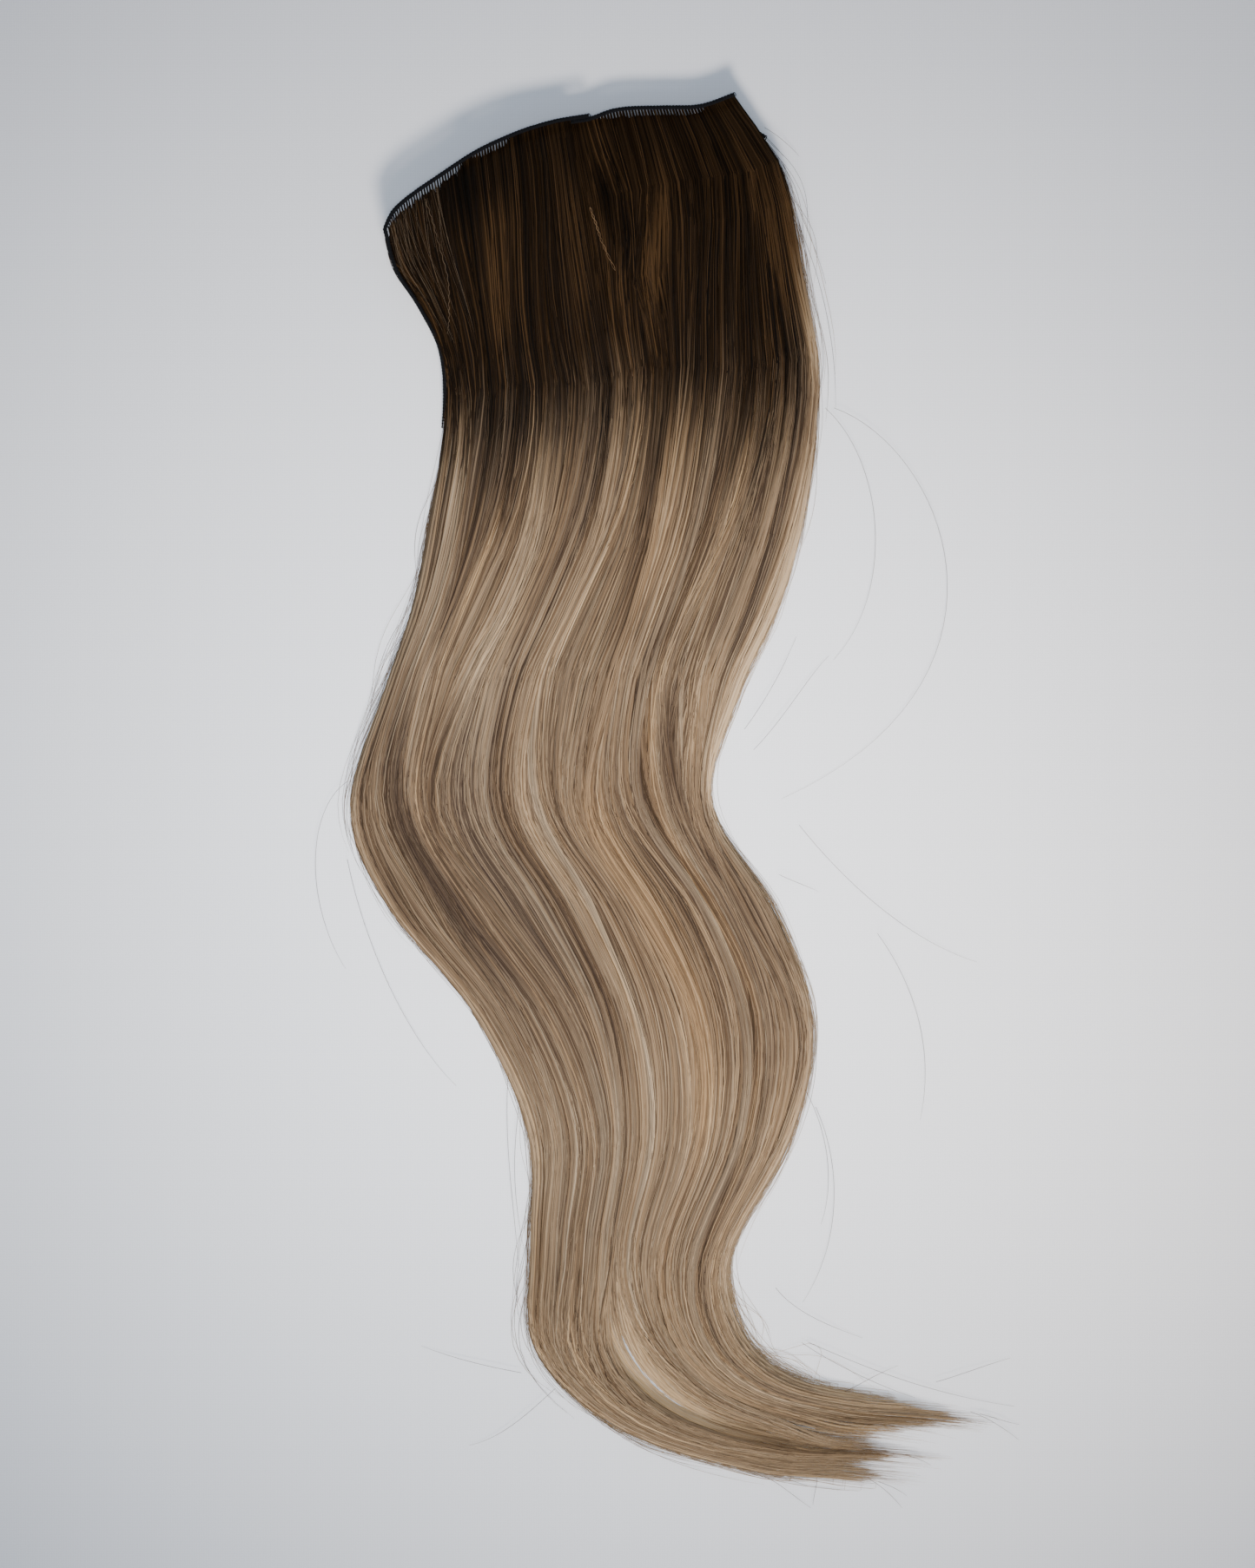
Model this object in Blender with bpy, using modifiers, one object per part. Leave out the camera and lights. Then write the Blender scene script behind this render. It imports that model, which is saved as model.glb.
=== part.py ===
"""A hair weft: folds of sewn band with long hair hanging from them, lying flat with the ends curled aside.

Metres, +Z up. +Y points to the sewn edge and +X to the side that the ends curl to. The hair lies on z = 0,
and the origin is the middle of the whole part's box, seen from above.

The hair is one wide curtain, which the table of sections describes. A place on it has two numbers. Its
place across runs from 0 at the left edge to 1 at the right, and one hair keeps it all its way down. Its
place along runs from 0 at the sewn edge to 1 at the tips.
"""

import math
from bisect import bisect_right
from collections import namedtuple

import bmesh
import bpy
from mathutils import Vector

# Sizes of the hair
FALL = 0.5323  # sewn edge to lowest tips, along Y
SWEEP = 0.2413  # outermost bulge to farthest tips, along X
SPREAD = 0.144  # width of the hair at its widest
LOFT = 0.0095  # height of the lying hair
ROOT_LOFT = 0.0018  # height of the hair where it is sewn in
TIP_LOFT = 0.0022  # height of the hair at its tips
EDGE_LOFT = 0.0014  # height of an open edge of the hair
EDGE_ROUND = 0.012  # how far in from an open edge the hair reaches its full height
LOCK_RELIEF = 0.0013  # how far a lock stands above the grooves beside it
TIP_NOTCH = 0.009  # depth of the notch between the tips of two locks
PARTING = 0.0005  # slit between the front hair and the back hair
CURL_PARTING = 0.0015  # the same slit where the curl opens it
UNDER_LOFT = 0.0026  # height of the thin under hair

# Sizes of the sewn bands
BAND_TALL = 0.0018
BAND_THICK = 0.0015
CLEARANCE = 0.0004  # between a band and its hair, and between two folds of hair
FRONT_LIFT = 0.0127  # underside of the front band above the floor, at its cut end
CORNER_LIFT = 0.0170  # the same at the corner, where the band turns down the left side
BACK_LIFT = 0.0098  # underside of the back band above the floor
UNDER_LIFT = 0.0005  # underside of the under band above the floor
SIDE_RUN = 0.080  # length of the front band down the left side
FRONT_LAP = 0.0065  # how far the front band's cut end lies over the back band
HIDDEN_RUN = 0.005  # length of the back band that dives under the front band
DIVE = 0.0012  # how far it dives
CUT_END = 0.0015  # how far a band's cut end stands out past its hair

# Places across and along, which are shares
PART_AT = 0.45  # across: the front hair ends and the back hair begins
BACK_EDGE = 0.972  # across: the back hair ends, which leaves the under hair showing
UNDER_FROM = 0.80  # across: the under hair begins, hidden below the back hair
UNDER_REACH = 0.45  # along: the under hair ends
UNDER_ROOT = 0.010  # along: the under hair is sewn in, at its hidden end
UNDER_SLANT = 0.025  # along: how much lower it is sewn in at its showing end

# Where the flow lines named near, middle and far lie across the curtain
NEAR_AT = 0.20
MIDDLE_AT = 0.45
FAR_AT = 0.70

# over and down: the section's middle from the upper left corner, in shares of SWEEP and FALL.
# turn: degrees that its right end is turned down. width: in shares of SPREAD.
# bow: how much of the sewn edge's arch it keeps.
# near, middle and far: where the three flow lines cross it, in shares of its own width.
# lift: of its underside, in shares of the band's. loft: of its height, from the root's 0 to the full 1.
Section = namedtuple("Section", "over down turn width bow near middle far lift loft")
SECTIONS = [
    Section(0.342, 0.052, -21.0, 0.989, 1.00, 0.37, 0.56, 0.86, 1.00, 0.00),
    Section(0.386, 0.090, -15.3, 1.052, 0.30, 0.30, 0.49, 0.82, 0.72, 0.45),
    Section(0.417, 0.126, -12.4, 1.013, 0.00, 0.24, 0.46, 0.775, 0.47, 0.72),
    Section(0.439, 0.159, -11.0, 0.979, 0.00, 0.20, 0.44, 0.74, 0.26, 0.86),
    Section(0.454, 0.214, -5.0, 0.994, 0.00, 0.20, 0.445, 0.705, 0.07, 0.97),
    Section(0.428, 0.308, 0.0, 0.995, 0.00, 0.20, 0.44, 0.69, 0.00, 1.00),
    Section(0.394, 0.372, 0.7, 0.968, 0.00, 0.165, 0.40, 0.675, 0.00, 0.98),
    Section(0.344, 0.427, 1.4, 0.940, 0.00, 0.15, 0.39, 0.70, 0.00, 0.96),
    Section(0.291, 0.513, -0.7, 0.961, 0.00, 0.18, 0.45, 0.78, 0.00, 0.96),
    Section(0.373, 0.588, 0.6, 1.032, 0.00, 0.21, 0.47, 0.80, 0.00, 0.94),
    Section(0.470, 0.667, 2.2, 0.903, 0.00, 0.22, 0.43, 0.78, 0.00, 0.96),
    Section(0.496, 0.750, 1.9, 0.699, 0.00, 0.235, 0.405, 0.78, 0.00, 1.00),
    Section(0.448, 0.837, 2.5, 0.526, 0.00, 0.24, 0.43, 0.79, 0.00, 1.06),
    Section(0.466, 0.901, -3.6, 0.559, 0.00, 0.24, 0.44, 0.77, 0.00, 1.04),
    Section(0.568, 0.943, -15.8, 0.486, 0.00, 0.22, 0.39, 0.74, 0.00, 0.96),
    Section(0.742, 0.966, -33.0, 0.373, 0.00, 0.21, 0.38, 0.73, 0.00, 0.74),
    Section(0.837, 0.970, -39.0, 0.334, 0.00, 0.21, 0.39, 0.73, 0.00, 0.46),
    Section(0.942, 0.975, -41.0, 0.323, 0.00, 0.22, 0.41, 0.74, 0.00, 0.00),
]

# The arch of the sewn edge above the straight line between its two ends. Both columns are shares
# of that line's length.
Arch = namedtuple("Arch", "at height")
SEWN_EDGE = [
    Arch(0.00, 0.000),
    Arch(0.03, 0.030),
    Arch(0.08, 0.051),
    Arch(0.18, 0.076),
    Arch(0.30, 0.102),
    Arch(0.42, 0.110),
    Arch(0.52, 0.104),
    Arch(0.61, 0.086),
    Arch(0.70, 0.072),
    Arch(0.80, 0.038),
    Arch(0.90, 0.004),
    Arch(1.00, 0.000),
]

# wide: the lock's width beside the others of its fold. ends: how far along its tip reaches, in shares
# of the fold's reach. stands: its height, in shares of LOCK_RELIEF.
Lock = namedtuple("Lock", "wide ends stands")
FRONT_LOCKS = [
    Lock(0.07, 0.968, 0.7),
    Lock(0.09, 0.986, 1.0),
    Lock(0.08, 0.974, 0.8),
    Lock(0.07, 0.984, 1.0),
    Lock(0.07, 0.972, 0.9),
    Lock(0.07, 0.984, 0.8),
]
BACK_LOCKS = [
    Lock(0.07, 0.980, 0.8),
    Lock(0.08, 0.968, 1.0),
    Lock(0.09, 0.978, 0.8),
    Lock(0.08, 0.972, 1.0),
    Lock(0.09, 0.990, 0.9),
    Lock(0.07, 1.000, 0.8),
    Lock(0.04, 0.985, 0.6),
]
UNDER_LOCKS = [
    Lock(0.10, 0.92, 0.4),
    Lock(0.10, 1.00, 0.4),
]

# How finely the curves are drawn
ROWS_ALONG = 62
UNDER_ROWS = 26
STEPS_PER_LOCK = 4
CORNER_STEPS = 6
TIPS_FROM = 0.88  # share of a fold's reach past which its locks part into their tips

ROOT_BROWN = (0.035, 0.021, 0.013, 1.0)
BAND_BLACK = (0.006, 0.005, 0.005, 1.0)


def smooth_through(knots, values, at):
    """The height, at this place, of a smooth curve through the values at the knots."""
    last = len(knots) - 1
    at = min(max(at, knots[0]), knots[-1])
    i = min(bisect_right(knots, at) - 1, last - 1)

    def slope(k):
        low, high = max(k - 1, 0), min(k + 1, last)
        return (values[high] - values[low]) / (knots[high] - knots[low])

    gap = knots[i + 1] - knots[i]
    s = (at - knots[i]) / gap
    rise = values[i + 1] - values[i]
    leaves, enters = slope(i) * gap, slope(i + 1) * gap
    bend = 3 * rise - 2 * leaves - enters
    return values[i] + s * leaves + s * s * bend + s**3 * (leaves + enters - 2 * rise)


def eased(share):
    """From 0 to 1, level at both ends."""
    share = min(max(share, 0.0), 1.0)
    return share * share * (3 - 2 * share)


def section_point(section, across):
    """Where the hair at this place across crosses a section, seen from above."""
    lines = (0.0, NEAR_AT, MIDDLE_AT, FAR_AT, 1.0)
    share = smooth_through(lines, (0.0, section.near, section.middle, section.far, 1.0), across)
    turn = math.radians(section.turn)
    width = section.width * SPREAD
    aside = (share - 0.5) * width
    arch = section.bow * width * smooth_through(*zip(*SEWN_EDGE), share)
    x = section.over * SWEEP + aside * math.cos(turn) + arch * math.sin(turn)
    y = -section.down * FALL - aside * math.sin(turn) + arch * math.cos(turn)
    return Vector((x, y))


def section_places():
    """How far along the curtain's middle each section lies, and the length of that middle."""
    points = [section_point(section, 0.5) for section in SECTIONS]
    run = [0.0]
    for before, after in zip(points, points[1:]):
        run.append(run[-1] + (after - before).length)
    return [length / run[-1] for length in run], run[-1]


PLACES, LENGTH = section_places()


def column(name, along):
    return smooth_through(PLACES, [getattr(section, name) for section in SECTIONS], along)


def hair_point(across, along):
    """A place on the curtain, seen from above."""
    points = [section_point(section, across) for section in SECTIONS]
    x = smooth_through(PLACES, [point.x for point in points], along)
    y = smooth_through(PLACES, [point.y for point in points], along)
    return Vector((x, y))


def width_at(along):
    return column("width", along) * SPREAD


def band_lift(across):
    """The underside of the front or the back band above the floor, at this place across."""
    if across > PART_AT:
        return BACK_LIFT
    return CORNER_LIFT + (FRONT_LIFT - CORNER_LIFT) * eased(across / PART_AT)


def hair_lift(across, along):
    """How far the curtain hangs above the floor, from its band down to where it lies."""
    root = band_lift(across) + 0.5 * (BAND_TALL - ROOT_LOFT)
    return max(root * column("lift", along), 0.0)


def full_loft(along):
    """The curtain's height away from its edges."""
    thin = ROOT_LOFT + (TIP_LOFT - ROOT_LOFT) * eased(2 * along - 1)
    return thin + (LOFT - thin) * column("loft", along)


def parting_at(along):
    """The slit between the front hair and the back hair, which opens in the curl."""
    opens = eased((along - 0.78) / 0.08) * (1 - eased((along - 0.90) / 0.05))
    return PARTING + (CURL_PARTING - PARTING) * opens


class Fold:
    """One fold of the weft: its locks side by side, and how each place across is bounded."""

    def __init__(self, locks, begins, stops, reach, rows):
        self.locks, self.begins, self.stops = locks, begins, stops
        self.reach, self.rows = reach, rows
        total = sum(lock.wide for lock in locks)
        self.edges = [begins]
        for lock in locks:
            self.edges.append(self.edges[-1] + (stops - begins) * lock.wide / total)

    def samples(self):
        """Places across for the points of a row, evenly spaced over each lock."""
        places = [self.begins]
        for low, high in zip(self.edges, self.edges[1:]):
            places += [low + (high - low) * step / STEPS_PER_LOCK for step in range(1, STEPS_PER_LOCK + 1)]
        return places

    def lock_at(self, across):
        """The lock at this place across, and how near its crest the place is: 0 in a groove, 1 on top."""
        i = min(bisect_right(self.edges, across) - 1, len(self.locks) - 1)
        share = (across - self.edges[i]) / (self.edges[i + 1] - self.edges[i])
        return self.locks[i], math.sin(math.pi * min(share, 1.0))

    def root(self, across):
        return 0.0

    def tip(self, across):
        """How far along the hair ends at this place across."""
        crests = [(low + high) / 2 for low, high in zip(self.edges, self.edges[1:])]
        ends = smooth_through(crests, [lock.ends for lock in self.locks], across)
        return ends * self.reach - (TIP_NOTCH / LENGTH) * (1 - self.lock_at(across)[1])

    def along(self, across, share):
        """The place along of a row, given as a share of the fold's rows."""
        root, parts_at = self.root(across), TIPS_FROM * self.reach
        if share < TIPS_FROM:
            return root + (parts_at - root) * share / TIPS_FROM
        return parts_at + (self.tip(across) - parts_at) * (share - TIPS_FROM) / (1 - TIPS_FROM)

    def placed(self, across, along):
        """The place across once the hair has moved aside for what lies beside it."""
        return across

    def edge_distance(self, across, along):
        """How far the nearest open edge is."""
        return min(across - self.begins, self.stops - across) * width_at(along)

    def floor(self, across, along):
        return hair_lift(across, along)

    def loft(self, along):
        return full_loft(along)

    def heights(self, across, placed, along):
        """The underside and the top of the hair at a place."""
        lock, crest = self.lock_at(across)
        full = self.loft(along)
        edge = min(EDGE_LOFT, 0.7 * full)
        relief = min(LOCK_RELIEF * lock.stands, 0.3 * full) * (1 - crest**0.7)
        inward = min(max(self.edge_distance(placed, along) / EDGE_ROUND, 0.0), 1.0)
        dome = math.sqrt(1 - (1 - inward) ** 2)
        low = self.floor(placed, along)
        high = hair_lift(placed, along) + edge + (full - edge - relief) * dome
        return low, max(high, low + edge)

    def surface(self):
        """Rows of points above and below, from the sewn edge to the tips."""
        tops, bottoms = [], []
        for row in range(self.rows + 1):
            tops.append([])
            bottoms.append([])
            for across in self.samples():
                along = self.along(across, row / self.rows)
                placed = self.placed(across, along)
                low, high = self.heights(across, placed, along)
                point = hair_point(placed, along)
                tops[-1].append((point.x, point.y, high))
                bottoms[-1].append((point.x, point.y, low))
        return tops, bottoms


class FrontFold(Fold):
    """The fold on the left, whose right side lies against the back hair."""

    def placed(self, across, along):
        share = (across - self.begins) / (self.stops - self.begins)
        return across - 0.5 * parting_at(along) / width_at(along) * share

    def edge_distance(self, across, along):
        return (across - self.begins) * width_at(along)


class BackFold(Fold):
    """The fold on the right, which passes over the under hair."""

    def placed(self, across, along):
        share = (across - self.begins) / (self.stops - self.begins)
        widened = (1 - self.stops) * eased((along - UNDER_REACH + 0.02) / 0.08)
        slit = 0.5 * parting_at(along) / width_at(along)
        return across + slit * (1 - share) + widened * share

    def edge_distance(self, across, along):
        edge = self.placed(self.stops, along)
        return (edge - across) * width_at(along)

    def floor(self, across, along):
        aside = eased((across - UNDER_FROM + 0.11) / 0.07)
        above = 1 - eased((along - UNDER_REACH - 0.03) / 0.05)
        return max(hair_lift(across, along), (UNDER_LOFT + CLEARANCE) * aside * above)


class UnderFold(Fold):
    """The thin fold that lies under the right side of the back hair."""

    def root(self, across):
        share = (across - self.begins) / (self.stops - self.begins)
        return UNDER_ROOT + UNDER_SLANT * share**2

    def floor(self, across, along):
        return 0.0

    def loft(self, along):
        return UNDER_LOFT * (1 - 0.5 * eased(along / self.reach))

    def heights(self, across, placed, along):
        full = self.loft(along)
        lock, crest = self.lock_at(across)
        relief = min(LOCK_RELIEF * lock.stands, 0.3 * full) * (1 - crest**0.7)
        return 0.0, full - relief


def lofted(name, tops, bottoms):
    """A closed mesh between rows of points above and the same rows of points below."""
    shape = bmesh.new()
    above = [[shape.verts.new(point) for point in row] for row in tops]
    below = [[shape.verts.new(point) for point in row] for row in bottoms]
    for rows in (above, below):
        for first, second in zip(rows, rows[1:]):
            for i in range(len(first) - 1):
                shape.faces.new([first[i], second[i], second[i + 1], first[i + 1]])

    def rim(rows):
        right = [row[-1] for row in rows[1:-1]]
        left = [row[0] for row in rows[-2:0:-1]]
        return rows[0] + right + rows[-1][::-1] + left

    upper, lower = rim(above), rim(below)
    for i in range(len(upper)):
        shape.faces.new([upper[i - 1], upper[i], lower[i], lower[i - 1]])
    bmesh.ops.triangulate(shape, faces=shape.faces[:])
    bmesh.ops.recalc_face_normals(shape, faces=shape.faces[:])
    mesh = bpy.data.meshes.new(name)
    shape.to_mesh(mesh)
    shape.free()
    return mesh


def outward(points):
    """For each point of a line with the hair on its left, the direction away from the hair."""
    away = []
    for i, point in enumerate(points):
        before, after = points[max(i - 1, 0)], points[min(i + 1, len(points) - 1)]
        run = (after - before).normalized()
        away.append(Vector((run.y, -run.x)))
    return away


def beside(points, corner=None):
    """The line of a band's middle beside a line of hair roots, carried round a corner point by an arc."""
    offset = CLEARANCE + 0.5 * BAND_THICK
    if corner is None:
        return [point + away * offset for point, away in zip(points, outward(points))]
    arrives, leaves = outward(points[: corner + 1]), outward(points[corner:])
    line = [point + away * offset for point, away in zip(points[:corner], arrives)]
    for step in range(CORNER_STEPS + 1):
        away = arrives[-1].lerp(leaves[0], step / CORNER_STEPS).normalized()
        line.append(points[corner] + away * offset)
    line += [point + away * offset for point, away in zip(points[corner + 1 :], leaves[1:])]
    return line


def with_cut_end(line, reach):
    """The line with its first point carried on, so that the cut end stands out past the hair."""
    first = line[0] + (line[0] - line[1]).normalized() * reach
    return [first] + line


def roots(fold, high, low):
    """Points where the hair of a fold is sewn in, from one place across down to another."""
    inside = [across for across in fold.samples() if low < across < high]
    places = [high] + inside[::-1] + [low]
    return places, [hair_point(across, fold.root(across)) for across in places]


def band(name, line, undersides):
    """A band standing on edge along a line, solidified to its thickness."""
    shape = bmesh.new()
    lower = [shape.verts.new((point.x, point.y, low)) for point, low in zip(line, undersides)]
    upper = [shape.verts.new((point.x, point.y, low + BAND_TALL)) for point, low in zip(line, undersides)]
    for i in range(1, len(line)):
        shape.faces.new([lower[i - 1], lower[i], upper[i], upper[i - 1]])
    mesh = bpy.data.meshes.new(name)
    shape.to_mesh(mesh)
    shape.free()
    return mesh


def front_band(fold):
    """From its cut end over the back band, along the roots to the corner, and down the left side."""
    lap = FRONT_LAP / width_at(0.0)
    places, points = roots(fold, PART_AT + lap, 0.0)
    corner = len(points) - 1
    undersides = [band_lift(min(across, PART_AT)) for across in places]
    undersides += [undersides[-1]] * CORNER_STEPS
    row = 0
    run = 0.0
    while run < SIDE_RUN:
        row += 1
        along = fold.along(0.0, row / fold.rows)
        point = hair_point(0.0, along)
        run += (point - points[-1]).length
        points.append(point)
        low, high = fold.heights(0.0, 0.0, along)
        undersides.append(max(0.5 * (low + high - BAND_TALL), UNDER_LIFT))
    return beside(points, corner), undersides


def back_band(fold):
    """From its cut end at the upper right, along the roots, to the end that dives under the front band."""
    hidden = HIDDEN_RUN / width_at(0.0)
    _, points = roots(fold, fold.stops, PART_AT)
    _, under_front = roots(fold, PART_AT, PART_AT - hidden)
    undersides = [BACK_LIFT] * (len(points) + 1) + [BACK_LIFT - DIVE]
    return with_cut_end(beside(points + under_front[1:]), CUT_END), undersides


def under_band(fold):
    """Along the roots of the under hair, to the cut end that shows at the upper right corner."""
    _, points = roots(fold, fold.stops, fold.begins)
    line = with_cut_end(beside(points), CUT_END)
    return line, [UNDER_LIFT] * len(line)


def new_part(name, mesh, colour, roughness, collection, holder):
    mesh.shade_smooth()
    mesh.set_sharp_from_angle(angle=math.radians(50))
    material = bpy.data.materials.new(name)
    material.use_nodes = True
    shader = material.node_tree.nodes["Principled BSDF"]
    shader.inputs["Base Color"].default_value = colour
    shader.inputs["Roughness"].default_value = roughness
    shader.inputs["Metallic"].default_value = 0.0
    mesh.materials.append(material)
    part = bpy.data.objects.new(name, mesh)
    collection.objects.link(part)
    part.parent = holder
    return part


def solidified(part):
    solid = part.modifiers.new("band_thickness", "SOLIDIFY")
    solid.thickness = BAND_THICK
    solid.offset = 0.0
    solid.use_even_offset = True


def main():
    for thing in list(bpy.data.objects):
        bpy.data.objects.remove(thing)
    collection = bpy.data.collections.new("hair_weft")
    bpy.context.scene.collection.children.link(collection)
    holder = bpy.data.objects.new("lying_weft", None)
    collection.objects.link(holder)

    front = FrontFold(FRONT_LOCKS, 0.0, PART_AT, 1.0, ROWS_ALONG)
    back = BackFold(BACK_LOCKS, PART_AT, BACK_EDGE, 1.0, ROWS_ALONG)
    under = UnderFold(UNDER_LOCKS, UNDER_FROM, 1.0, UNDER_REACH, UNDER_ROWS)
    for name, fold in (("hair_front", front), ("hair_back", back), ("hair_under", under)):
        new_part(name, lofted(name, *fold.surface()), ROOT_BROWN, 0.45, collection, holder)
    for name, (line, undersides) in (
        ("weft_band_front", front_band(front)),
        ("weft_band_back", back_band(back)),
        ("weft_band_under", under_band(under)),
    ):
        strip = band(name, line, undersides)
        solidified(new_part(name, strip, BAND_BLACK, 0.7, collection, holder))

    # The part's box, seen from above, is centred on the origin.
    bpy.context.view_layer.update()
    graph = bpy.context.evaluated_depsgraph_get()
    corners = []
    for part in collection.objects:
        if part.type == "MESH":
            corners += [Vector(corner) for corner in part.evaluated_get(graph).bound_box]
    for axis in (0, 1):
        sides = [corner[axis] for corner in corners]
        holder.location[axis] = -(min(sides) + max(sides)) / 2


main()
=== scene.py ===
"""The looks of a hair weft that lies on a pale sheet: strands, locks, sewn bands, loose hairs and light.

Metres, +Z up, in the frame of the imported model. The hair is one wide curtain, and a place on it has two
numbers. Its place across runs from 0 at the left edge to 1 at the right, and one hair keeps it nearly all
its way down. Its place along runs from 0 at the sewn edge to 1 at the tips.
"""

import math
from collections import namedtuple

import bpy
import numpy as np
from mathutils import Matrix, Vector


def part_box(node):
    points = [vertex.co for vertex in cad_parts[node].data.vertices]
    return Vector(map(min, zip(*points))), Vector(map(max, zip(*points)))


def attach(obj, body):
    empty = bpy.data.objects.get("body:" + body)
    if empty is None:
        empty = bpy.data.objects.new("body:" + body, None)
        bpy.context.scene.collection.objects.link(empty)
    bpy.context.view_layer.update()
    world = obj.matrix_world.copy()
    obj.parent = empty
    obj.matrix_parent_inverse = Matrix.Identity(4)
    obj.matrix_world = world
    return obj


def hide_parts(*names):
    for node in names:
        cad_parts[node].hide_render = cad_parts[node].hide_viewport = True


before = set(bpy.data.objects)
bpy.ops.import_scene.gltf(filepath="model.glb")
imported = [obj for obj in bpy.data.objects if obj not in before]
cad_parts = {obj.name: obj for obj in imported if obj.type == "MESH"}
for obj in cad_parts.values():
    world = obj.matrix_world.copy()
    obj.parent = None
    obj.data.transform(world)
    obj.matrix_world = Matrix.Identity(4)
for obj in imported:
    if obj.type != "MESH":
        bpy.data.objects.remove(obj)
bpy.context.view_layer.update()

MM = 0.001
PHOTO_WIDE, PHOTO_TALL = 1445, 1806
PIXEL = MM / 3  # size of one pixel of the photograph, on the sheet
SHEET_ORIGIN = (765.5, 905.7)  # the pixel of the photograph that shows the frame's origin
CAMERA_HEIGHT = 3.0
SHEET_HALF = 8.0

# Sizes of the hair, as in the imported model
FALL = 0.5323  # sewn edge to lowest tips, along Y
SWEEP = 0.2413  # outermost bulge to farthest tips, along X
SPREAD = 0.144  # width of the hair at its widest
LOFT = 0.0095  # height of the lying hair
ROOT_LOFT = 0.0018
TIP_LOFT = 0.0022
EDGE_LOFT = 0.0014
EDGE_ROUND = 0.012
LOCK_RELIEF = 0.0013
UNDER_LOFT = 0.0026

# The slit between the front and the back hair in the curl, 0.2 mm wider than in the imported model
CURL_PARTING = 0.0017

# Sizes of the sewn bands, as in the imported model
BAND_TALL = 0.0018
BAND_THICK = 0.0015
CLEARANCE = 0.0004
FRONT_LIFT = 0.0127
CORNER_LIFT = 0.0170
BACK_LIFT = 0.0098
UNDER_LIFT = 0.0005
SIDE_RUN = 0.080
FRONT_LAP = 0.0065
HIDDEN_RUN = 0.005
CUT_END = 0.0015
BACK_DIP = 0.0012  # how far the back band dips towards its hair where it goes under the front band

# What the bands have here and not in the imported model
THIN_END = 0.016  # length over which the front band thins out at the end of its side run
UNDER_WIDER = 1.7  # the under band lies flat, and shows wider
CORNER_STEPS = 9
CLOTH_STEP = 0.6 * MM
CLOTH_SIDES = 12
THREAD_RADIUS = 0.13 * MM
STITCH_STEPS = 11
STITCH_SLANTS = (0.42, -0.30)  # in shares of the tufts' spacing

# Places across and along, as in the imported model
PART_AT = 0.45  # across: the front hair ends and the back hair begins
BACK_EDGE = 0.972  # across: the back hair ends, which leaves the under hair showing
UNDER_FROM = 0.80  # across: the under hair begins
UNDER_REACH = 0.45  # along: the under hair ends
UNDER_ROOT = 0.010  # along: the under hair is sewn in, at its hidden end
UNDER_SLANT = 0.025  # along: how much lower it is sewn in at its showing end
NEAR_AT, MIDDLE_AT, FAR_AT = 0.20, 0.45, 0.70

UNDER_BAND_AT = 0.98  # across: the under band's showing end
FOLD_LAP = 0.004  # across: how far the looks of the front and the back hair reach past their parting

# over and down: the section's middle from the upper left corner, in shares of SWEEP and FALL.
# turn: degrees that its right end is turned down. width: in shares of SPREAD.
# bow: how much of the sewn edge's arch it keeps.
# near, middle and far: where the three flow lines cross it, in shares of its own width.
# lift: of its underside, in shares of the band's. loft: of its height, from the root's 0 to the full 1.
Section = namedtuple("Section", "over down turn width bow near middle far lift loft")
SECTIONS = [Section(*row) for row in (
    (0.342, 0.052, -21.0, 0.989, 1.00, 0.37, 0.56, 0.86, 1.00, 0.00),
    (0.386, 0.090, -15.3, 1.052, 0.30, 0.30, 0.49, 0.82, 0.72, 0.45),
    (0.417, 0.126, -12.4, 1.013, 0.00, 0.24, 0.46, 0.775, 0.47, 0.72),
    (0.439, 0.159, -11.0, 0.979, 0.00, 0.20, 0.44, 0.74, 0.26, 0.86),
    (0.454, 0.214, -5.0, 0.994, 0.00, 0.20, 0.445, 0.705, 0.07, 0.97),
    (0.428, 0.308, 0.0, 0.995, 0.00, 0.20, 0.44, 0.69, 0.00, 1.00),
    (0.394, 0.372, 0.7, 0.968, 0.00, 0.165, 0.40, 0.675, 0.00, 0.98),
    (0.344, 0.427, 1.4, 0.940, 0.00, 0.15, 0.39, 0.70, 0.00, 0.96),
    (0.291, 0.513, -0.7, 0.961, 0.00, 0.18, 0.45, 0.78, 0.00, 0.96),
    (0.373, 0.588, 0.6, 1.032, 0.00, 0.21, 0.47, 0.80, 0.00, 0.94),
    (0.470, 0.667, 2.2, 0.903, 0.00, 0.22, 0.43, 0.78, 0.00, 0.96),
    (0.496, 0.750, 1.9, 0.699, 0.00, 0.235, 0.405, 0.78, 0.00, 1.00),
    (0.448, 0.837, 2.5, 0.526, 0.00, 0.24, 0.43, 0.79, 0.00, 1.06),
    (0.466, 0.901, -3.6, 0.559, 0.00, 0.24, 0.44, 0.77, 0.00, 1.04),
    (0.568, 0.943, -15.8, 0.486, 0.00, 0.22, 0.39, 0.74, 0.00, 0.96),
    (0.742, 0.966, -33.0, 0.373, 0.00, 0.21, 0.38, 0.73, 0.00, 0.74),
    (0.837, 0.970, -39.0, 0.334, 0.00, 0.21, 0.39, 0.73, 0.00, 0.46),
    (0.942, 0.975, -41.0, 0.323, 0.00, 0.22, 0.41, 0.74, 0.00, 0.00),
)]

# The arch of the sewn edge above the straight line between its two ends, in shares of that line.
Arch = namedtuple("Arch", "at height")
SEWN_EDGE = [Arch(*row) for row in (
    (0.00, 0.000),
    (0.03, 0.030),
    (0.08, 0.051),
    (0.18, 0.076),
    (0.30, 0.102),
    (0.42, 0.110),
    (0.52, 0.104),
    (0.61, 0.086),
    (0.70, 0.072),
    (0.80, 0.038),
    (0.90, 0.004),
    (1.00, 0.000),
)]

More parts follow.
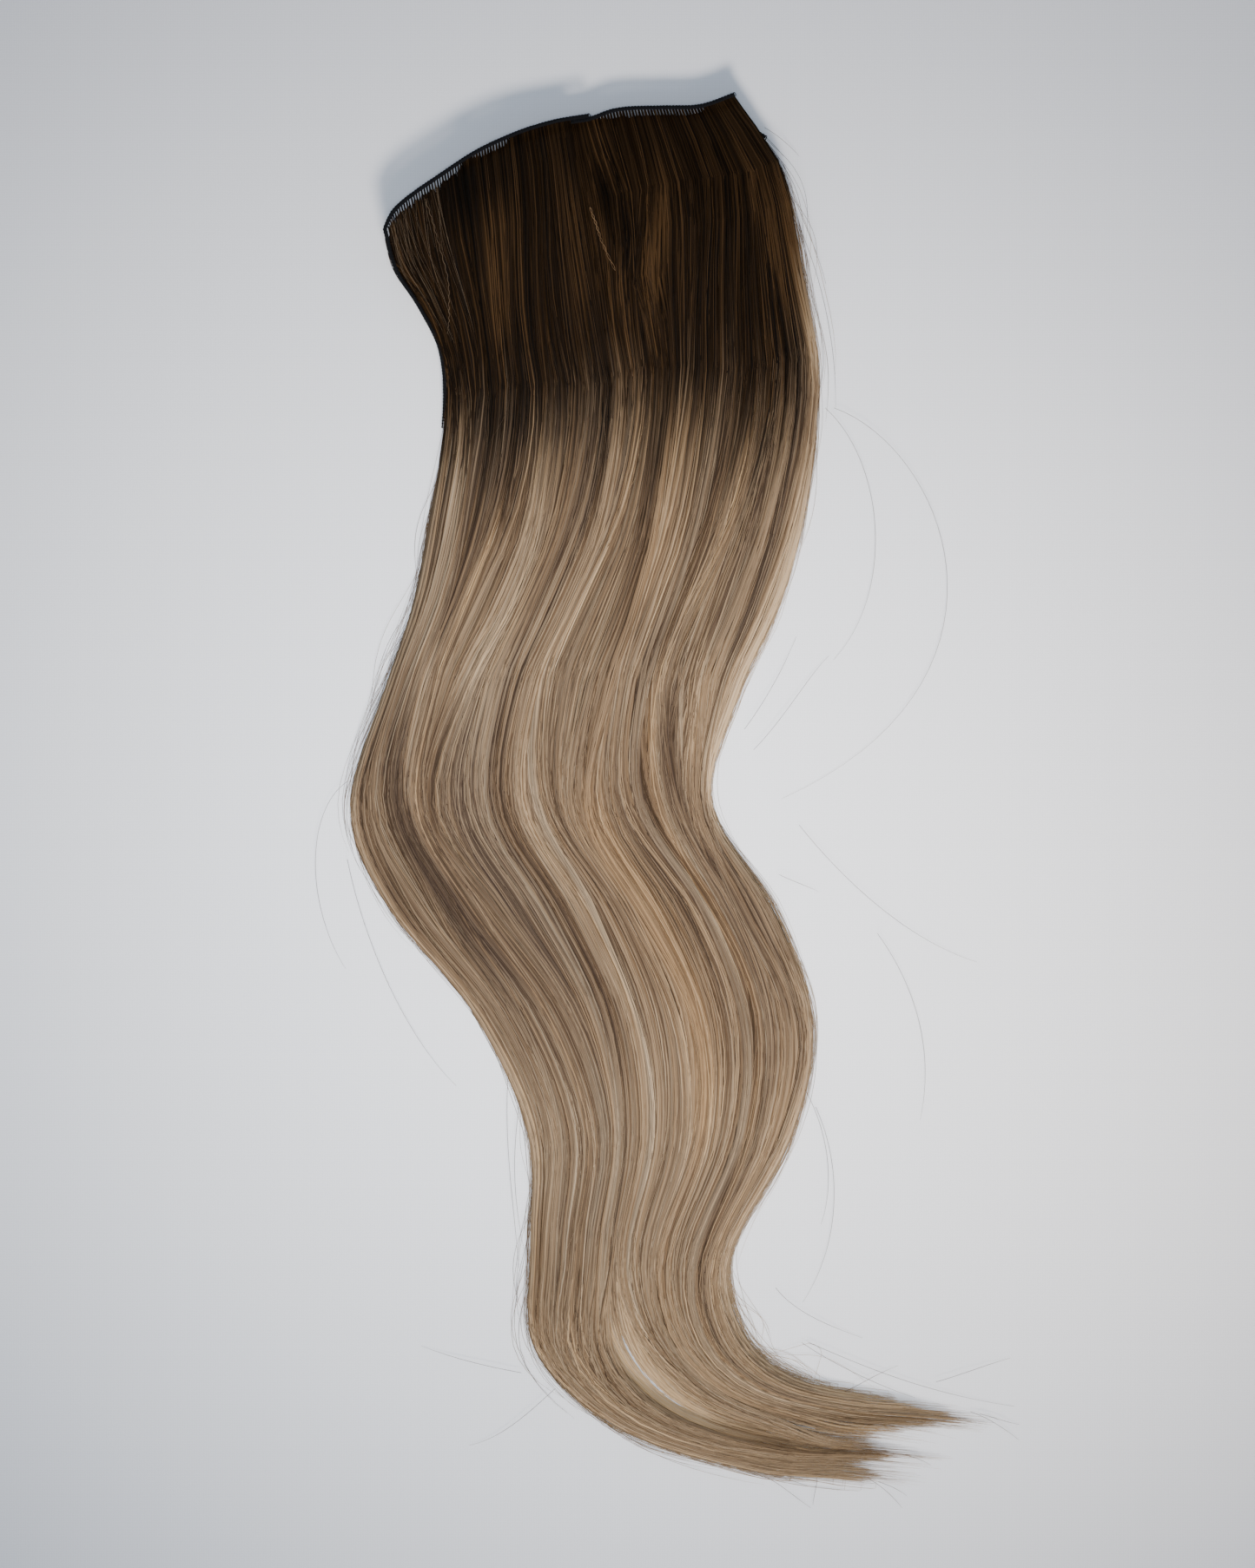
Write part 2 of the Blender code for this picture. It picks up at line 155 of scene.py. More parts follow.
# Strands: each is a small tent of a few hairs that lie together.
# The deep ones fill the curtain, and the upper ones lie over them in locks.
DEEP_STRANDS = {"front": 520, "back": 700, "under": 60}
UPPER_STRANDS = {"front": 1000, "back": 1400, "under": 110}
STRAND_WIDE = (0.22 * MM, 0.46 * MM)
STRAND_TALL = 0.18 * MM
STRAND_STEPS = 51
STRAND_LEAST = 0.22 * MM  # height that a strand keeps above its fold's underside
UPPER_SUNK = 0.9 * MM  # how deep the lowest of the upper strands lie
DEEP_SUNK = 0.6 * MM  # how much deeper the deep ones lie
STRAND_SWELL = 0.07 * MM  # how far a strand rises and falls on its way
PIECE_STRANDS = 900  # a layer with more strands than this is made as two pieces
LOCKS = {"front": 21, "back": 27, "under": 4}
LOCK_POINT = 0.70  # the share of its width that a lock loses towards its tip
LOCK_POINT_RUN = 0.11  # along: the length over which it does
TUFT_PITCH = 1.2 * MM  # spacing of the sewn tufts along the band
# along: the first points of a strand, close together where the tufts spread
STRAND_BEGINS = (-0.0016, 0.0, 0.0024, 0.0036, 0.0048, 0.0064, 0.012, 0.022)
SPARSE_TO = 0.065  # across: the left corner's thin hair ends
SIDE_SEWN = (0.004, 0.146)  # along: hair sewn to the side run joins here
SIDE_ROOT = -0.009  # across: that hair begins here, under the band

# The body under the strands
BODY_STEPS, BODY_ACROSS = 110, 48
BODY_BEGINS = 0.0075  # along: it starts below the comb
BODY_SHORT = 0.075  # along: how far above the tips it ends
BODY_INSETS = (0.016, 0.020)  # across: how far in from the left and the right edge it stays
BODY_HELD = 0.022  # across: how far it reaches out to the band's side run
BODY_SUNK = 1.0 * MM
BODY_LEAST = 0.30 * MM

# Where the gaps between the sewn tufts show as a comb: its two ends across, how far along the gaps reach,
# and the share of its full width that a tuft keeps there
Comb = namedtuple("Comb", "begins ends reach tuft")
COMBS = [Comb(*row) for row in (
    (0.000, 0.125, 0.0044, 0.42),
    (0.140, 0.215, 0.0030, 0.52),
    (0.515, 0.790, 0.0038, 0.62),
)]

# A broad streak of colour: where it begins and ends along the hair, its place across at the start, halfway
# and at the end, half its width, how much lighter it is, and how much more golden than ash.
Streak = namedtuple("Streak", "begins ends first middle last wide lighter golden")
STREAK_STRENGTH = 1.12
STREAK_FADE = 0.22  # share of its length over which a streak fades in, and out again
STREAKS = [Streak(*row) for row in (
    (0.00, 0.04, 0.120, 0.120, 0.110, 0.030, -0.32, 0.0),
    (0.03, 0.14, 0.190, 0.170, 0.160, 0.030, 0.28, 0.4),
    (0.02, 0.10, 0.460, 0.515, 0.530, 0.020, -0.36, 0.0),
    (0.03, 0.12, 0.420, 0.430, 0.400, 0.030, 0.18, 0.2),
    (0.04, 0.14, 0.605, 0.580, 0.550, 0.020, 0.40, 0.4),
    (0.04, 0.16, 0.860, 0.900, 0.950, 0.030, 0.20, 0.3),
    (0.10, 0.20, 0.890, 0.915, 0.950, 0.020, -0.30, 0.0),
    (0.05, 0.18, 0.975, 0.980, 0.990, 0.022, 0.40, 0.2),
    (0.19, 0.36, 0.055, 0.060, 0.075, 0.026, 0.12, -0.3),
    (0.18, 0.40, 0.300, 0.290, 0.315, 0.050, 0.20, 0.1),
    (0.18, 0.34, 0.465, 0.450, 0.430, 0.014, 0.14, 0.0),
    (0.16, 0.36, 0.535, 0.520, 0.480, 0.015, 0.20, 0.5),
    (0.17, 0.32, 0.660, 0.655, 0.690, 0.044, 0.22, 0.5),
    (0.18, 0.33, 0.825, 0.800, 0.765, 0.028, 0.22, 0.5),
    (0.33, 0.45, 0.765, 0.770, 0.800, 0.018, 0.20, 0.4),
    (0.43, 0.60, 0.800, 0.755, 0.775, 0.020, 0.22, 0.4),
    (0.24, 0.33, 0.195, 0.175, 0.155, 0.016, 0.14, 0.4),
    (0.20, 0.46, 0.985, 0.985, 0.985, 0.025, 0.25, 0.1),
    (0.22, 0.46, 0.020, 0.020, 0.030, 0.020, -0.12, -0.2),
    (0.17, 0.36, 0.120, 0.125, 0.135, 0.020, -0.16, 0.0),
    (0.17, 0.27, 0.180, 0.190, 0.200, 0.030, -0.20, 0.0),
    (0.17, 0.36, 0.385, 0.370, 0.400, 0.020, -0.19, 0.3),
    (0.34, 0.62, 0.400, 0.420, 0.430, 0.018, -0.16, 0.2),
    (0.18, 0.35, 0.570, 0.595, 0.640, 0.024, -0.19, 0.1),
    (0.18, 0.38, 0.770, 0.745, 0.710, 0.020, -0.18, -0.2),
    (0.18, 0.36, 0.875, 0.865, 0.870, 0.026, -0.13, -0.3),
    (0.20, 0.36, 0.940, 0.930, 0.930, 0.018, -0.09, -0.3),
    (0.33, 0.60, 0.330, 0.345, 0.360, 0.045, 0.02, -0.6),
    (0.33, 0.62, 0.475, 0.465, 0.475, 0.024, 0.12, 0.0),
    (0.40, 0.70, 0.615, 0.600, 0.640, 0.045, 0.14, 0.7),
    (0.33, 0.46, 0.120, 0.165, 0.220, 0.020, 0.14, 0.2),
    (0.34, 0.60, 0.050, 0.155, 0.165, 0.036, -0.22, -0.4),
    (0.36, 0.48, 0.270, 0.250, 0.230, 0.008, -0.22, 0.0),
    (0.37, 0.62, 0.715, 0.755, 0.740, 0.015, -0.21, 0.0),
    (0.36, 0.46, 0.790, 0.840, 0.930, 0.020, -0.22, -0.3),
    (0.45, 0.60, 0.900, 0.860, 0.940, 0.026, -0.18, -0.4),
    (0.33, 0.42, 0.890, 0.900, 0.925, 0.020, 0.08, 0.5),
    (0.60, 0.75, 0.300, 0.275, 0.260, 0.028, -0.03, -0.8),
    (0.66, 0.86, 0.185, 0.200, 0.120, 0.010, -0.15, 0.0),
    (0.66, 0.78, 0.720, 0.770, 0.795, 0.016, -0.24, -0.4),
    (0.76, 0.90, 0.795, 0.800, 0.800, 0.026, -0.17, -0.2),
    (0.70, 0.80, 0.045, 0.035, 0.035, 0.025, -0.13, 0.3),
    (0.76, 0.92, 0.560, 0.585, 0.550, 0.014, -0.12, -0.3),
    (0.60, 0.80, 0.900, 0.880, 0.900, 0.040, 0.07, 0.3),
    (0.88, 1.00, 0.280, 0.370, 0.420, 0.100, -0.12, 0.4),
    (0.92, 1.00, 0.620, 0.600, 0.560, 0.050, 0.16, 0.3),
    (0.90, 1.00, 0.700, 0.720, 0.750, 0.030, -0.13, 0.2),
    (0.86, 1.00, 0.980, 0.940, 0.910, 0.050, 0.24, 0.0),
)]

# How light the hair is on the whole, by place along: its lightening towards the tips, with painted light and
# shade where the waves tilt towards and away from the key, and painted light on the tips that offsets the
# shade under them
Level = namedtuple("Level", "along tone")
LEVELS_AND_PAINTED_SHADE = [Level(*row) for row in (
    (0.00, 0.40),
    (0.05, 0.48),
    (0.15, 0.45),
    (0.25, 0.40),
    (0.34, 0.48),
    (0.46, 0.35),
    (0.52, 0.33),
    (0.60, 0.40),
    (0.66, 0.50),
    (0.76, 0.52),
    (0.84, 0.60),
    (0.92, 0.70),
    (1.00, 0.82),
)]

# Where the dark roots begin to melt into the lighter lengths, by place across
Melt = namedtuple("Melt", "across along")
MELTS = [Melt(*row) for row in (
    (0.00, 0.154),
    (0.05, 0.157),
    (0.15, 0.168),
    (0.25, 0.152),
    (0.35, 0.156),
    (0.45, 0.154),
    (0.55, 0.154),
    (0.65, 0.158),
    (0.75, 0.156),
    (0.85, 0.158),
    (0.95, 0.136),
    (1.00, 0.084),
)]
MELT_RUN = 0.11  # along: length of the melt

# Tones, partly painted light and shade: thin pale hair along the two edges, dark strands among the others,
# and what the layers change
# The edges are paler partly as painted light, which offsets the shade on the sides of the hair there
EDGE_PALE_AND_PAINTED_LIGHT = (0.15, 0.34)  # at the left and at the right edge
EDGE_PALE_WIDE = 2.6 * MM
GOLDEN_BASE = 0.38
STRAND_TONES = (0.03, 0.14)  # mean and spread of a strand's own tone
LIGHTEST_STRAND = 0.27
# Darker strands are painted shade, for the gaps between strands
PAINTED_GAP_SHADE_STRANDS = 0.13  # the share of strands that are darker
PAINTED_GAP_SHADE = 0.30
# The deep strands and the body are darker as painted shade under the upper strands
DEEP_PAINTED_SHADE = 0.08
BODY_PAINTED_SHADE = 0.20
# The hollow's hair is paler partly as painted light, which offsets the shade in its valley
HOLLOW_PALE_AND_PAINTED_LIGHT = 0.66
HOLLOW_BODY_PALE_AND_PAINTED_LIGHT = 0.70
HOLLOW_THINNER = 0.76  # the share of the hair's height that is gone in the middle of the hollow

# Where the upper hair is drawn aside: the place's middle, its half width and half length, and the shift.
Bend = namedtuple("Bend", "across along wide long shift")
BENDS = [Bend(*row) for row in (
    (0.33, 0.03, 0.08, 0.03, 0.018),
    (0.50, 0.06, 0.04, 0.04, 0.022),
    (0.58, 0.10, 0.03, 0.03, -0.030),
    (0.89, 0.17, 0.08, 0.09, 0.045),
    (0.06, 0.13, 0.05, 0.05, -0.030),
    (0.53, 0.32, 0.03, 0.09, -0.040),
    (0.60, 0.33, 0.04, 0.09, 0.035),
    (0.81, 0.33, 0.05, 0.09, -0.045),
    (0.19, 0.31, 0.03, 0.06, -0.030),
    (0.29, 0.31, 0.04, 0.06, 0.020),
    (0.40, 0.28, 0.03, 0.06, -0.015),
    (0.10, 0.47, 0.06, 0.08, 0.055),
    (0.27, 0.44, 0.04, 0.06, -0.028),
    (0.79, 0.44, 0.04, 0.04, 0.030),
    (0.88, 0.43, 0.06, 0.05, 0.070),
    (0.90, 0.51, 0.06, 0.04, -0.045),
    (0.77, 0.50, 0.03, 0.04, -0.020),
    (0.62, 0.49, 0.06, 0.07, -0.020),
    (0.93, 0.61, 0.05, 0.05, 0.030),
    (0.40, 0.66, 0.05, 0.06, -0.020),
    (0.77, 0.72, 0.05, 0.04, 0.030),
    (0.88, 0.73, 0.05, 0.05, 0.035),
    (0.86, 0.89, 0.08, 0.05, -0.030),
    (0.52, 0.95, 0.10, 0.05, -0.070),
)]

# Where the locks end at the tips, by place across
Tip = namedtuple("Tip", "across along")
TIPS = [Tip(*row) for row in (
    (0.00, 0.984),
    (0.08, 0.990),
    (0.17, 0.974),
    (0.28, 0.972),
    (0.42, 0.982),
    (0.52, 0.962),
    (0.62, 0.968),
    (0.72, 0.990),
    (0.79, 1.000),
    (0.84, 0.988),
    (0.88, 0.974),
    (0.94, 0.956),
    (1.00, 0.930),
)]
STRAND_SHORT = 0.022  # along: how much earlier strands end, on average

# The place where the curl draws the hair apart and shows thinner, paler hair and a slit of sheet; part of
# the hair's paleness is painted light that offsets the shade in the valley
HOLLOW = (0.410, 0.835)  # its middle, across and along
HOLLOW_REACH = (0.120, 0.090)
SLIT_AT = 0.434  # across
SLIT_RUN = (0.772, 0.872)  # along: where the slit begins and ends
SLIT_FADE = 0.03  # along: the length over which it opens, and closes again

# Loose single hairs: four (x, y) points in mm from the frame's origin, each pulling the curve towards it.
Loose = namedtuple("Loose", "start out back end")
LOOSE_HAIRS = [Loose(*row) for row in (
    ((61.5, 145.2), (84, 125), (89, 75), (64.8, 48.6)),
    ((64.8, 145.2), (108, 130), (144, 40), (44.8, -4.8)),
    ((51.5, -14.8), (70, -38), (95, -60), (119.8, -67.4)),
    ((81.5, -56.4), (95, -75), (104, -100), (98, -128)),
    ((-121.8, 1.9), (-139, -10), (-137, -48), (-122.5, -70)),
    ((-121.8, -28), (-115, -62), (-98, -98), (-80, -115)),
    ((-55, -225), (-66, -223), (-80, -220), (-93.5, -214.8)),
    ((-42, -231), (-52, -240), (-62, -250), (-75, -253)),
    ((55.2, -213.4), (75, -222), (100, -233), (134, -238)),
    ((52.5, -213.4), (65, -222), (82, -230), (96.2, -234.8)),
    ((67.8, -232.8), (74, -230), (82, -225), (89.5, -222.4)),
    ((104, -228.5), (113, -226), (123, -222), (132.5, -219.5)),
    ((117.2, -240), (124, -242), (131, -247), (136, -251)),
    ((120.8, -240.8), (126, -242), (131, -244), (136, -245)),
    ((90.5, -256.1), (94, -257), (98, -258), (101.9, -260.5)),
    ((78.2, -265.8), (83, -268), (88, -273), (91, -277)),
    ((81.8, -266.8), (86, -268), (90, -270), (92.8, -272.4)),
    ((38, -264.8), (44, -267), (50, -273), (56, -277)),
    ((41.8, -264.8), (46, -265), (50, -267), (54.5, -268.4)),
    ((58.5, -266), (58, -269), (57, -273), (56.8, -276)),
    ((38.2, 252.8), (43, 250), (48, 246), (51.5, 241.9)),
    ((38.2, 249.6), (41, 247), (43, 245), (45.5, 241.9)),
    ((45.5, 238.6), (50, 222), (58, 208), (61.8, 192.9)),
    ((51.5, 215), (60, 195), (66, 170), (65.5, 145)),
    ((30.5, 21.9), (38, 32), (45, 44), (50.5, 57.6)),
    ((34, 14), (46, 26), (56, 44), (63, 50)),
    ((43.8, -33.8), (48, -36), (54, -38), (59, -40.4)),
    ((-102, 62), (-107, 55), (-110, 46), (-112, 35)),
    ((-108, 40), (-116, 30), (-120, 14), (-121, -4)),
    ((57.8, -123), (68, -145), (68, -175), (53, -198)),
    ((50, -110), (62, -128), (66, -150), (60, -168)),
    ((42.5, -192.4), (50, -202), (63, -207), (75.8, -211.8)),
    ((-60, -110), (-62, -135), (-58, -160), (-56, -185)),
    ((-52, -100), (-58, -130), (-60, -150), (-54, -178)),
)]
LOOSE_STEPS = 34
LOOSE_RADIUS = 0.08 * MM

# Two single hairs that stand out from the dark roots: places (across, along) that they run through.
LIGHT_HAIR = ((0.064, 0.008), (0.070, 0.040), (0.069, 0.075), (0.048, 0.100), (0.024, 0.114))
TWISTED_HAIRS = ((0.465, 0.054), (0.472, 0.066), (0.478, 0.078), (0.495, 0.096))
MARKED_STEPS = 70

# Other single hairs: how many, how many points each has, and their radius
Hairs = namedtuple("Hairs", "count steps radius")
FRINGE = Hairs(900, 13, 0.07 * MM)
TIP_HAIRS = Hairs(340, 14, 0.08 * MM)
CORNER_HAIRS = Hairs(46, 24, 0.06 * MM)
STRAY_HAIRS = Hairs(90, 30, 0.06 * MM)

# Places along, and their reach, where the fringe stands off furthest: in the curl, by the roots and above
# the two left bulges
FRINGE_WILD = ((0.76, 0.06), (0.06, 0.06), (0.30, 0.08), (0.72, 0.08))

rng = np.random.default_rng(24)
TUFT_DEPTHS = rng.uniform(0.70, 1.15, 160)


def smooth_through(knots, values, at):
    """The heights, at these places, of a smooth curve through the values at the knots."""
    knots = np.asarray(knots, float)
    values = np.asarray(values, float)
    shape = (-1,) + (1,) * (values.ndim - 1)
    slopes = np.empty_like(values)
    slopes[1:-1] = (values[2:] - values[:-2]) / (knots[2:] - knots[:-2]).reshape(shape)
    slopes[0] = (values[1] - values[0]) / (knots[1] - knots[0])
    slopes[-1] = (values[-1] - values[-2]) / (knots[-1] - knots[-2])
    at = np.clip(np.asarray(at, float), knots[0], knots[-1])
    i = np.clip(np.searchsorted(knots, at, side="right") - 1, 0, len(knots) - 2)
    gap = knots[i + 1] - knots[i]
    s = (at - knots[i]) / gap
    if values.ndim > 1:
        gap, s = gap[:, None], s[:, None]
    rise = values[i + 1] - values[i]
    leaves, enters = slopes[i] * gap, slopes[i + 1] * gap
    bend = 3 * rise - 2 * leaves - enters
    return values[i] + s * leaves + s**2 * bend + s**3 * (leaves + enters - 2 * rise)


def read(table, at):
    """The second column of a table on a smooth curve, at places along its first column."""
    return smooth_through(*zip(*table), np.ravel(at)).reshape(np.shape(at))


def run_along(line):
    """How far along a line each of its points lies."""
    return np.concatenate([[0.0], np.cumsum(np.linalg.norm(np.diff(line, axis=0), axis=1))])


def eased(share):
    """From 0 to 1, level at both ends."""
    share = np.clip(share, 0.0, 1.0)
    return share * share * (3 - 2 * share)


def section_points(section, across):
    """Where the hair at these places across crosses a section, seen from above."""
    lines = (0.0, NEAR_AT, MIDDLE_AT, FAR_AT, 1.0)
    share = smooth_through(lines, (0.0, section.near, section.middle, section.far, 1.0), across)
    turn = math.radians(section.turn)
    width = section.width * SPREAD
    aside = (share - 0.5) * width
    arch = section.bow * width * read(SEWN_EDGE, share)
    x = section.over * SWEEP + aside * math.cos(turn) + arch * math.sin(turn)
    y = -section.down * FALL - aside * math.sin(turn) + arch * math.cos(turn)
    return x, y


class Curtain:
    """The whole curtain of hair as a fine net, which turns places on it into points."""

    NET_ACROSS, NET_ALONG = 201, 481

    def __init__(self):
        middles = np.array([section_points(section, np.array([0.5])) for section in SECTIONS])[:, :, 0]
        run = run_along(middles)
        self.places = run / run[-1]
        across = np.linspace(0.0, 1.0, self.NET_ACROSS)
        along = np.linspace(0.0, 1.0, self.NET_ALONG)
        rows = np.array([section_points(section, across) for section in SECTIONS])
        self.net = np.stack([smooth_through(self.places, rows[:, k], along) for k in (0, 1)], -1)
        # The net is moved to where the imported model's hair lies.
        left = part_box("hair_front")[0][0]
        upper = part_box("hair_back")[1][1]
        edge = self.points(np.full(99, BACK_EDGE), np.linspace(0.0, 0.05, 99))
        self.net += (left - self.net[..., 0].min(), upper - edge[:, 1].max())

    def column(self, name, along):
        return smooth_through(self.places, [getattr(section, name) for section in SECTIONS], along)

    def width(self, along):
        return self.column("width", along) * SPREAD

    def points(self, across, along):
        """Points seen from above, for arrays of places. The net runs on just past its ends and left edge."""
        a = np.clip(across, -0.02, 1.0) * (self.NET_ACROSS - 1)
        t = np.clip(along, -0.01, 1.03) * (self.NET_ALONG - 1)
        i = np.clip(np.floor(t).astype(int), 0, self.NET_ALONG - 2)
        j = np.clip(np.floor(a).astype(int), 0, self.NET_ACROSS - 2)
        s, u = (t - i)[..., None], (a - j)[..., None]
        upper = self.net[i, j] * (1 - u) + self.net[i, j + 1] * u
        lower = self.net[i + 1, j] * (1 - u) + self.net[i + 1, j + 1] * u
        return upper * (1 - s) + lower * s

    def lift(self, across, along):
        """The underside of the hair above the sheet."""
        front = CORNER_LIFT + (FRONT_LIFT - CORNER_LIFT) * eased(across / PART_AT)
        band = np.where(across > PART_AT, BACK_LIFT, front)
        return np.maximum(band * self.column("lift", along), 0.0)

    def thickness(self, along):
        thin = ROOT_LOFT + (TIP_LOFT - ROOT_LOFT) * eased(2 * along - 1)
        return thin + (LOFT - thin) * self.column("loft", along)

    def top(self, across, along):
        """The top of the hair above the sheet, which falls off in a dome towards the two edges."""
        full = self.thickness(along)
        edge = np.minimum(EDGE_LOFT, 0.7 * full)
        inward = np.minimum(across, 1 - across) * self.width(along)
        share = np.clip(inward / EDGE_ROUND, 0.0, 1.0)
        return self.lift(across, along) + edge + (full - edge) * np.sqrt(1 - (1 - share) ** 2)


CURTAIN = Curtain()


def broad_tone(across, along):
    """How light the hair is at a place, from 0 for dark brown to 1 for pale blonde, with painted light and
    shade from the levels and at the edges, and how golden.
    """
    tone = read(LEVELS_AND_PAINTED_SHADE, along) + 0.0 * across
    golden = np.zeros(np.shape(tone))
    for streak in STREAKS:
        s = (along - streak.begins) / (streak.ends - streak.begins)
        middle = streak.first * (1 - s) * (1 - 2 * s) + streak.middle * 4 * s * (1 - s)
        middle = middle + streak.last * s * (2 * s - 1)
        run = eased(s / STREAK_FADE) * (1 - eased((s - 1 + STREAK_FADE) / STREAK_FADE))
        side = np.exp(-np.minimum(((across - middle) / streak.wide) ** 2, 30.0)) * run
        tone = tone + STREAK_STRENGTH * streak.lighter * side
        golden = golden + streak.golden * side
    inward = np.minimum(across, 1 - across) * CURTAIN.width(along)
    # Towards the edges the hair is paler, part of it painted light that offsets the shade on the edges'
    # sides
    left, right = EDGE_PALE_AND_PAINTED_LIGHT
    pale = np.where(across > 0.5, right, left) * eased((along - 0.16) / 0.12)
    golden = GOLDEN_BASE + 0.5 * golden + 0.25 * hollow(across, along) + 0.06 * eased((along - 0.72) / 0.12)
    return tone + pale * np.exp(-inward / EDGE_PALE_WIDE), golden


def root_shade(across, along, later):
    """1 in the dark roots and 0 in the lighter lengths. later shifts the melt of one hair down."""
    return 1 - eased((along - read(MELTS, across) - later) / MELT_RUN)


def hollow(across, along):
    """How far the hair has drawn apart at a place, from 0 to 1."""
    reach = np.hypot((across - HOLLOW[0]) / HOLLOW_REACH[0], (along - HOLLOW[1]) / HOLLOW_REACH[1])
    return 1 - eased((reach - 0.15) / 1.15)


def drawn_aside(home, along):
    """How far the upper hair leaves its home across."""
    shift = np.zeros(np.broadcast(home, along).shape)
    for bend in BENDS:
        near = ((home - bend.across) / bend.wide) ** 2 + ((along - bend.along) / bend.long) ** 2
        shift += bend.shift * np.exp(-np.minimum(near, 30.0))
    # The curl draws the front hair to the left of the hollow and the back hair to its right.
    leaves = eased((along - 0.735) / 0.10) * (1 - 0.85 * eased((along - 0.875) / 0.09))
    shift += np.where(home < PART_AT, -0.46 * home, 0.10 * np.exp(-(home - PART_AT) / 0.12)) * leaves
    return shift


def slit_opens(along):
    """Half the slit's width there, in places across."""
    begins, stops = SLIT_RUN
    opens = eased((along - begins) / SLIT_FADE) * (1 - eased((along - stops + SLIT_FADE) / SLIT_FADE))
    return 0.48 * CURL_PARTING * opens / CURTAIN.width(along)


def clear_of_slit(across, along):
    """Places moved off the slit, which lies between the front and the back hair in the curl."""
    away = across - SLIT_AT
    return SLIT_AT + np.where(away < 0, -1.0, 1.0) * np.hypot(away, slit_opens(along))


def beside_slit(fold, across, along):
    """Places kept on the fold's own side of the slit where it opens."""
    half = slit_opens(along)
    laps = np.where(half > 0, 0.0, 0.020)
    if fold.name == "front":
        return np.minimum(across, SLIT_AT - half + laps)
    return np.maximum(across, SLIT_AT + half - laps)


class Locks:
    """The locks of one fold: where each lies, how it sways, pinches and ends."""

    def __init__(self, fold):
        count = LOCKS[fold.name]
        wide = rng.uniform(0.6, 1.5, count)
        shares = np.concatenate([[0.0], np.cumsum(wide) / wide.sum()])
        edges = fold.begins + (fold.stops - fold.begins) * shares
        self.count, self.begins, self.stops = count, fold.begins, fold.stops
        self.middle = 0.5 * (edges[1:] + edges[:-1])
        self.half = 0.5 * (edges[1:] - edges[:-1])
        self.stand = rng.uniform(0.0, 1.0, count)
        self.tone = rng.normal(0.0, 0.045, count)
        self.golden = rng.normal(0.0, 0.10, count)
        self.later = rng.uniform(-0.016, 0.012, count)
        ends = read(TIPS, self.middle) if fold.reach == 1.0 else fold.reach
        self.ends = ends + rng.uniform(-0.010, 0.004, count)
        self.waves = rng.uniform(1.3, 4.5, (2, count))
        self.phases = rng.uniform(0.0, 2 * math.pi, (3, count))
        self.sways = rng.normal(0.0, 0.45, (2, count))

    def sway(self, k, along):
        """How far, across, the middle of lock k strays."""
        swings = 0.0
        for n in (0, 1):
            turn = 2 * math.pi * self.waves[n][k] * along + self.phases[n][k]
            swings = swings + self.sways[n][k] * np.sin(turn)
        calm = eased((along - 0.02) / 0.10)
        held = np.minimum(self.middle[k] - self.begins, self.stops - self.middle[k]) / self.half[k]
        return swings * self.half[k] * calm * np.clip(held - 0.9, 0.0, 1.0)

    def place(self, k, u, along, upper):
        """The place across of a strand that lies u half widths from the lock's middle."""
        point = 1 - LOCK_POINT * eased((along - self.ends[k] + LOCK_POINT_RUN) / LOCK_POINT_RUN)
        if not upper:
            return self.middle[k] + u * self.half[k] * point
        breath = 1.05 + 0.16 * np.sin(2 * math.pi * self.waves[0][k] * along * 1.7 + self.phases[2][k])
        return self.middle[k] + self.sway(k, along) + u * self.half[k] * breath * point

    def drop(self, k, u, along):
        """How far below the curtain's top the lock's surface lies."""
        relief = np.minimum(LOCK_RELIEF, 0.3 * CURTAIN.thickness(along))
        return relief * (0.75 * (1 - self.stand[k]) + 0.75 * np.minimum(np.abs(u), 1.3) ** 2.5)


Fold = namedtuple("Fold", "name slot node begins stops reach floor cap starts")


def facets(rows, columns, closed):
    """Quads between rows of points, each row joined to itself where it is closed."""
    wrap = columns if closed else columns - 1
    i, j = np.meshgrid(np.arange(rows - 1), np.arange(wrap), indexing="ij")
    after = (j + 1) % columns
    here, below = i * columns, (i + 1) * columns
    return np.stack([here + j, below + j, below + after, here + after], -1).reshape(-1, 4)


def copied(quads, size, copies):
    """The same quads for many copies of a strip with this many points."""
    return (quads[None] + (np.arange(copies) * size)[:, None, None]).reshape(-1, 4)


def piece_of(name, points, quads, places, looks, material):
    """A mesh object with its places on the curtain as a UV map, and its looks as attributes of its points.

    home is the place across that the fine lines follow, so that they run the whole length of a strand.
    """
    if "tone" in looks and "home" not in looks:
        looks["home"] = places[..., 0]
    mesh = bpy.data.meshes.new(name)
    points, quads = points.reshape(-1, 3), quads.astype(np.int32)
    mesh.vertices.add(len(points))
    mesh.vertices.foreach_set("co", points.astype(np.float32).ravel())
    mesh.loops.add(quads.size)
    mesh.loops.foreach_set("vertex_index", quads.ravel())
    mesh.polygons.add(len(quads))
    mesh.polygons.foreach_set("loop_start", np.arange(0, quads.size, 4, dtype=np.int32))
    mesh.update(calc_edges=True)
    mesh.shade_smooth()
    net = mesh.uv_layers.new(name="OFBake")
    net.data.foreach_set("uv", places.reshape(-1, 2)[quads.ravel()].astype(np.float32).ravel())
    for label, values in looks.items():
        layer = mesh.attributes.new(label, "FLOAT", "POINT")
        values = np.broadcast_to(values, places.shape[:-1])
        layer.data.foreach_set("value", values.astype(np.float32).ravel())
    mesh.materials.append(material)
    piece = bpy.data.objects.new(name, mesh)
    bpy.context.scene.collection.objects.link(piece)
    return piece


def dressed(piece, slot, *nodes):
    """Puts a finished piece on the part."""
    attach(piece, "root")
    if nodes:
        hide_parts(*nodes)


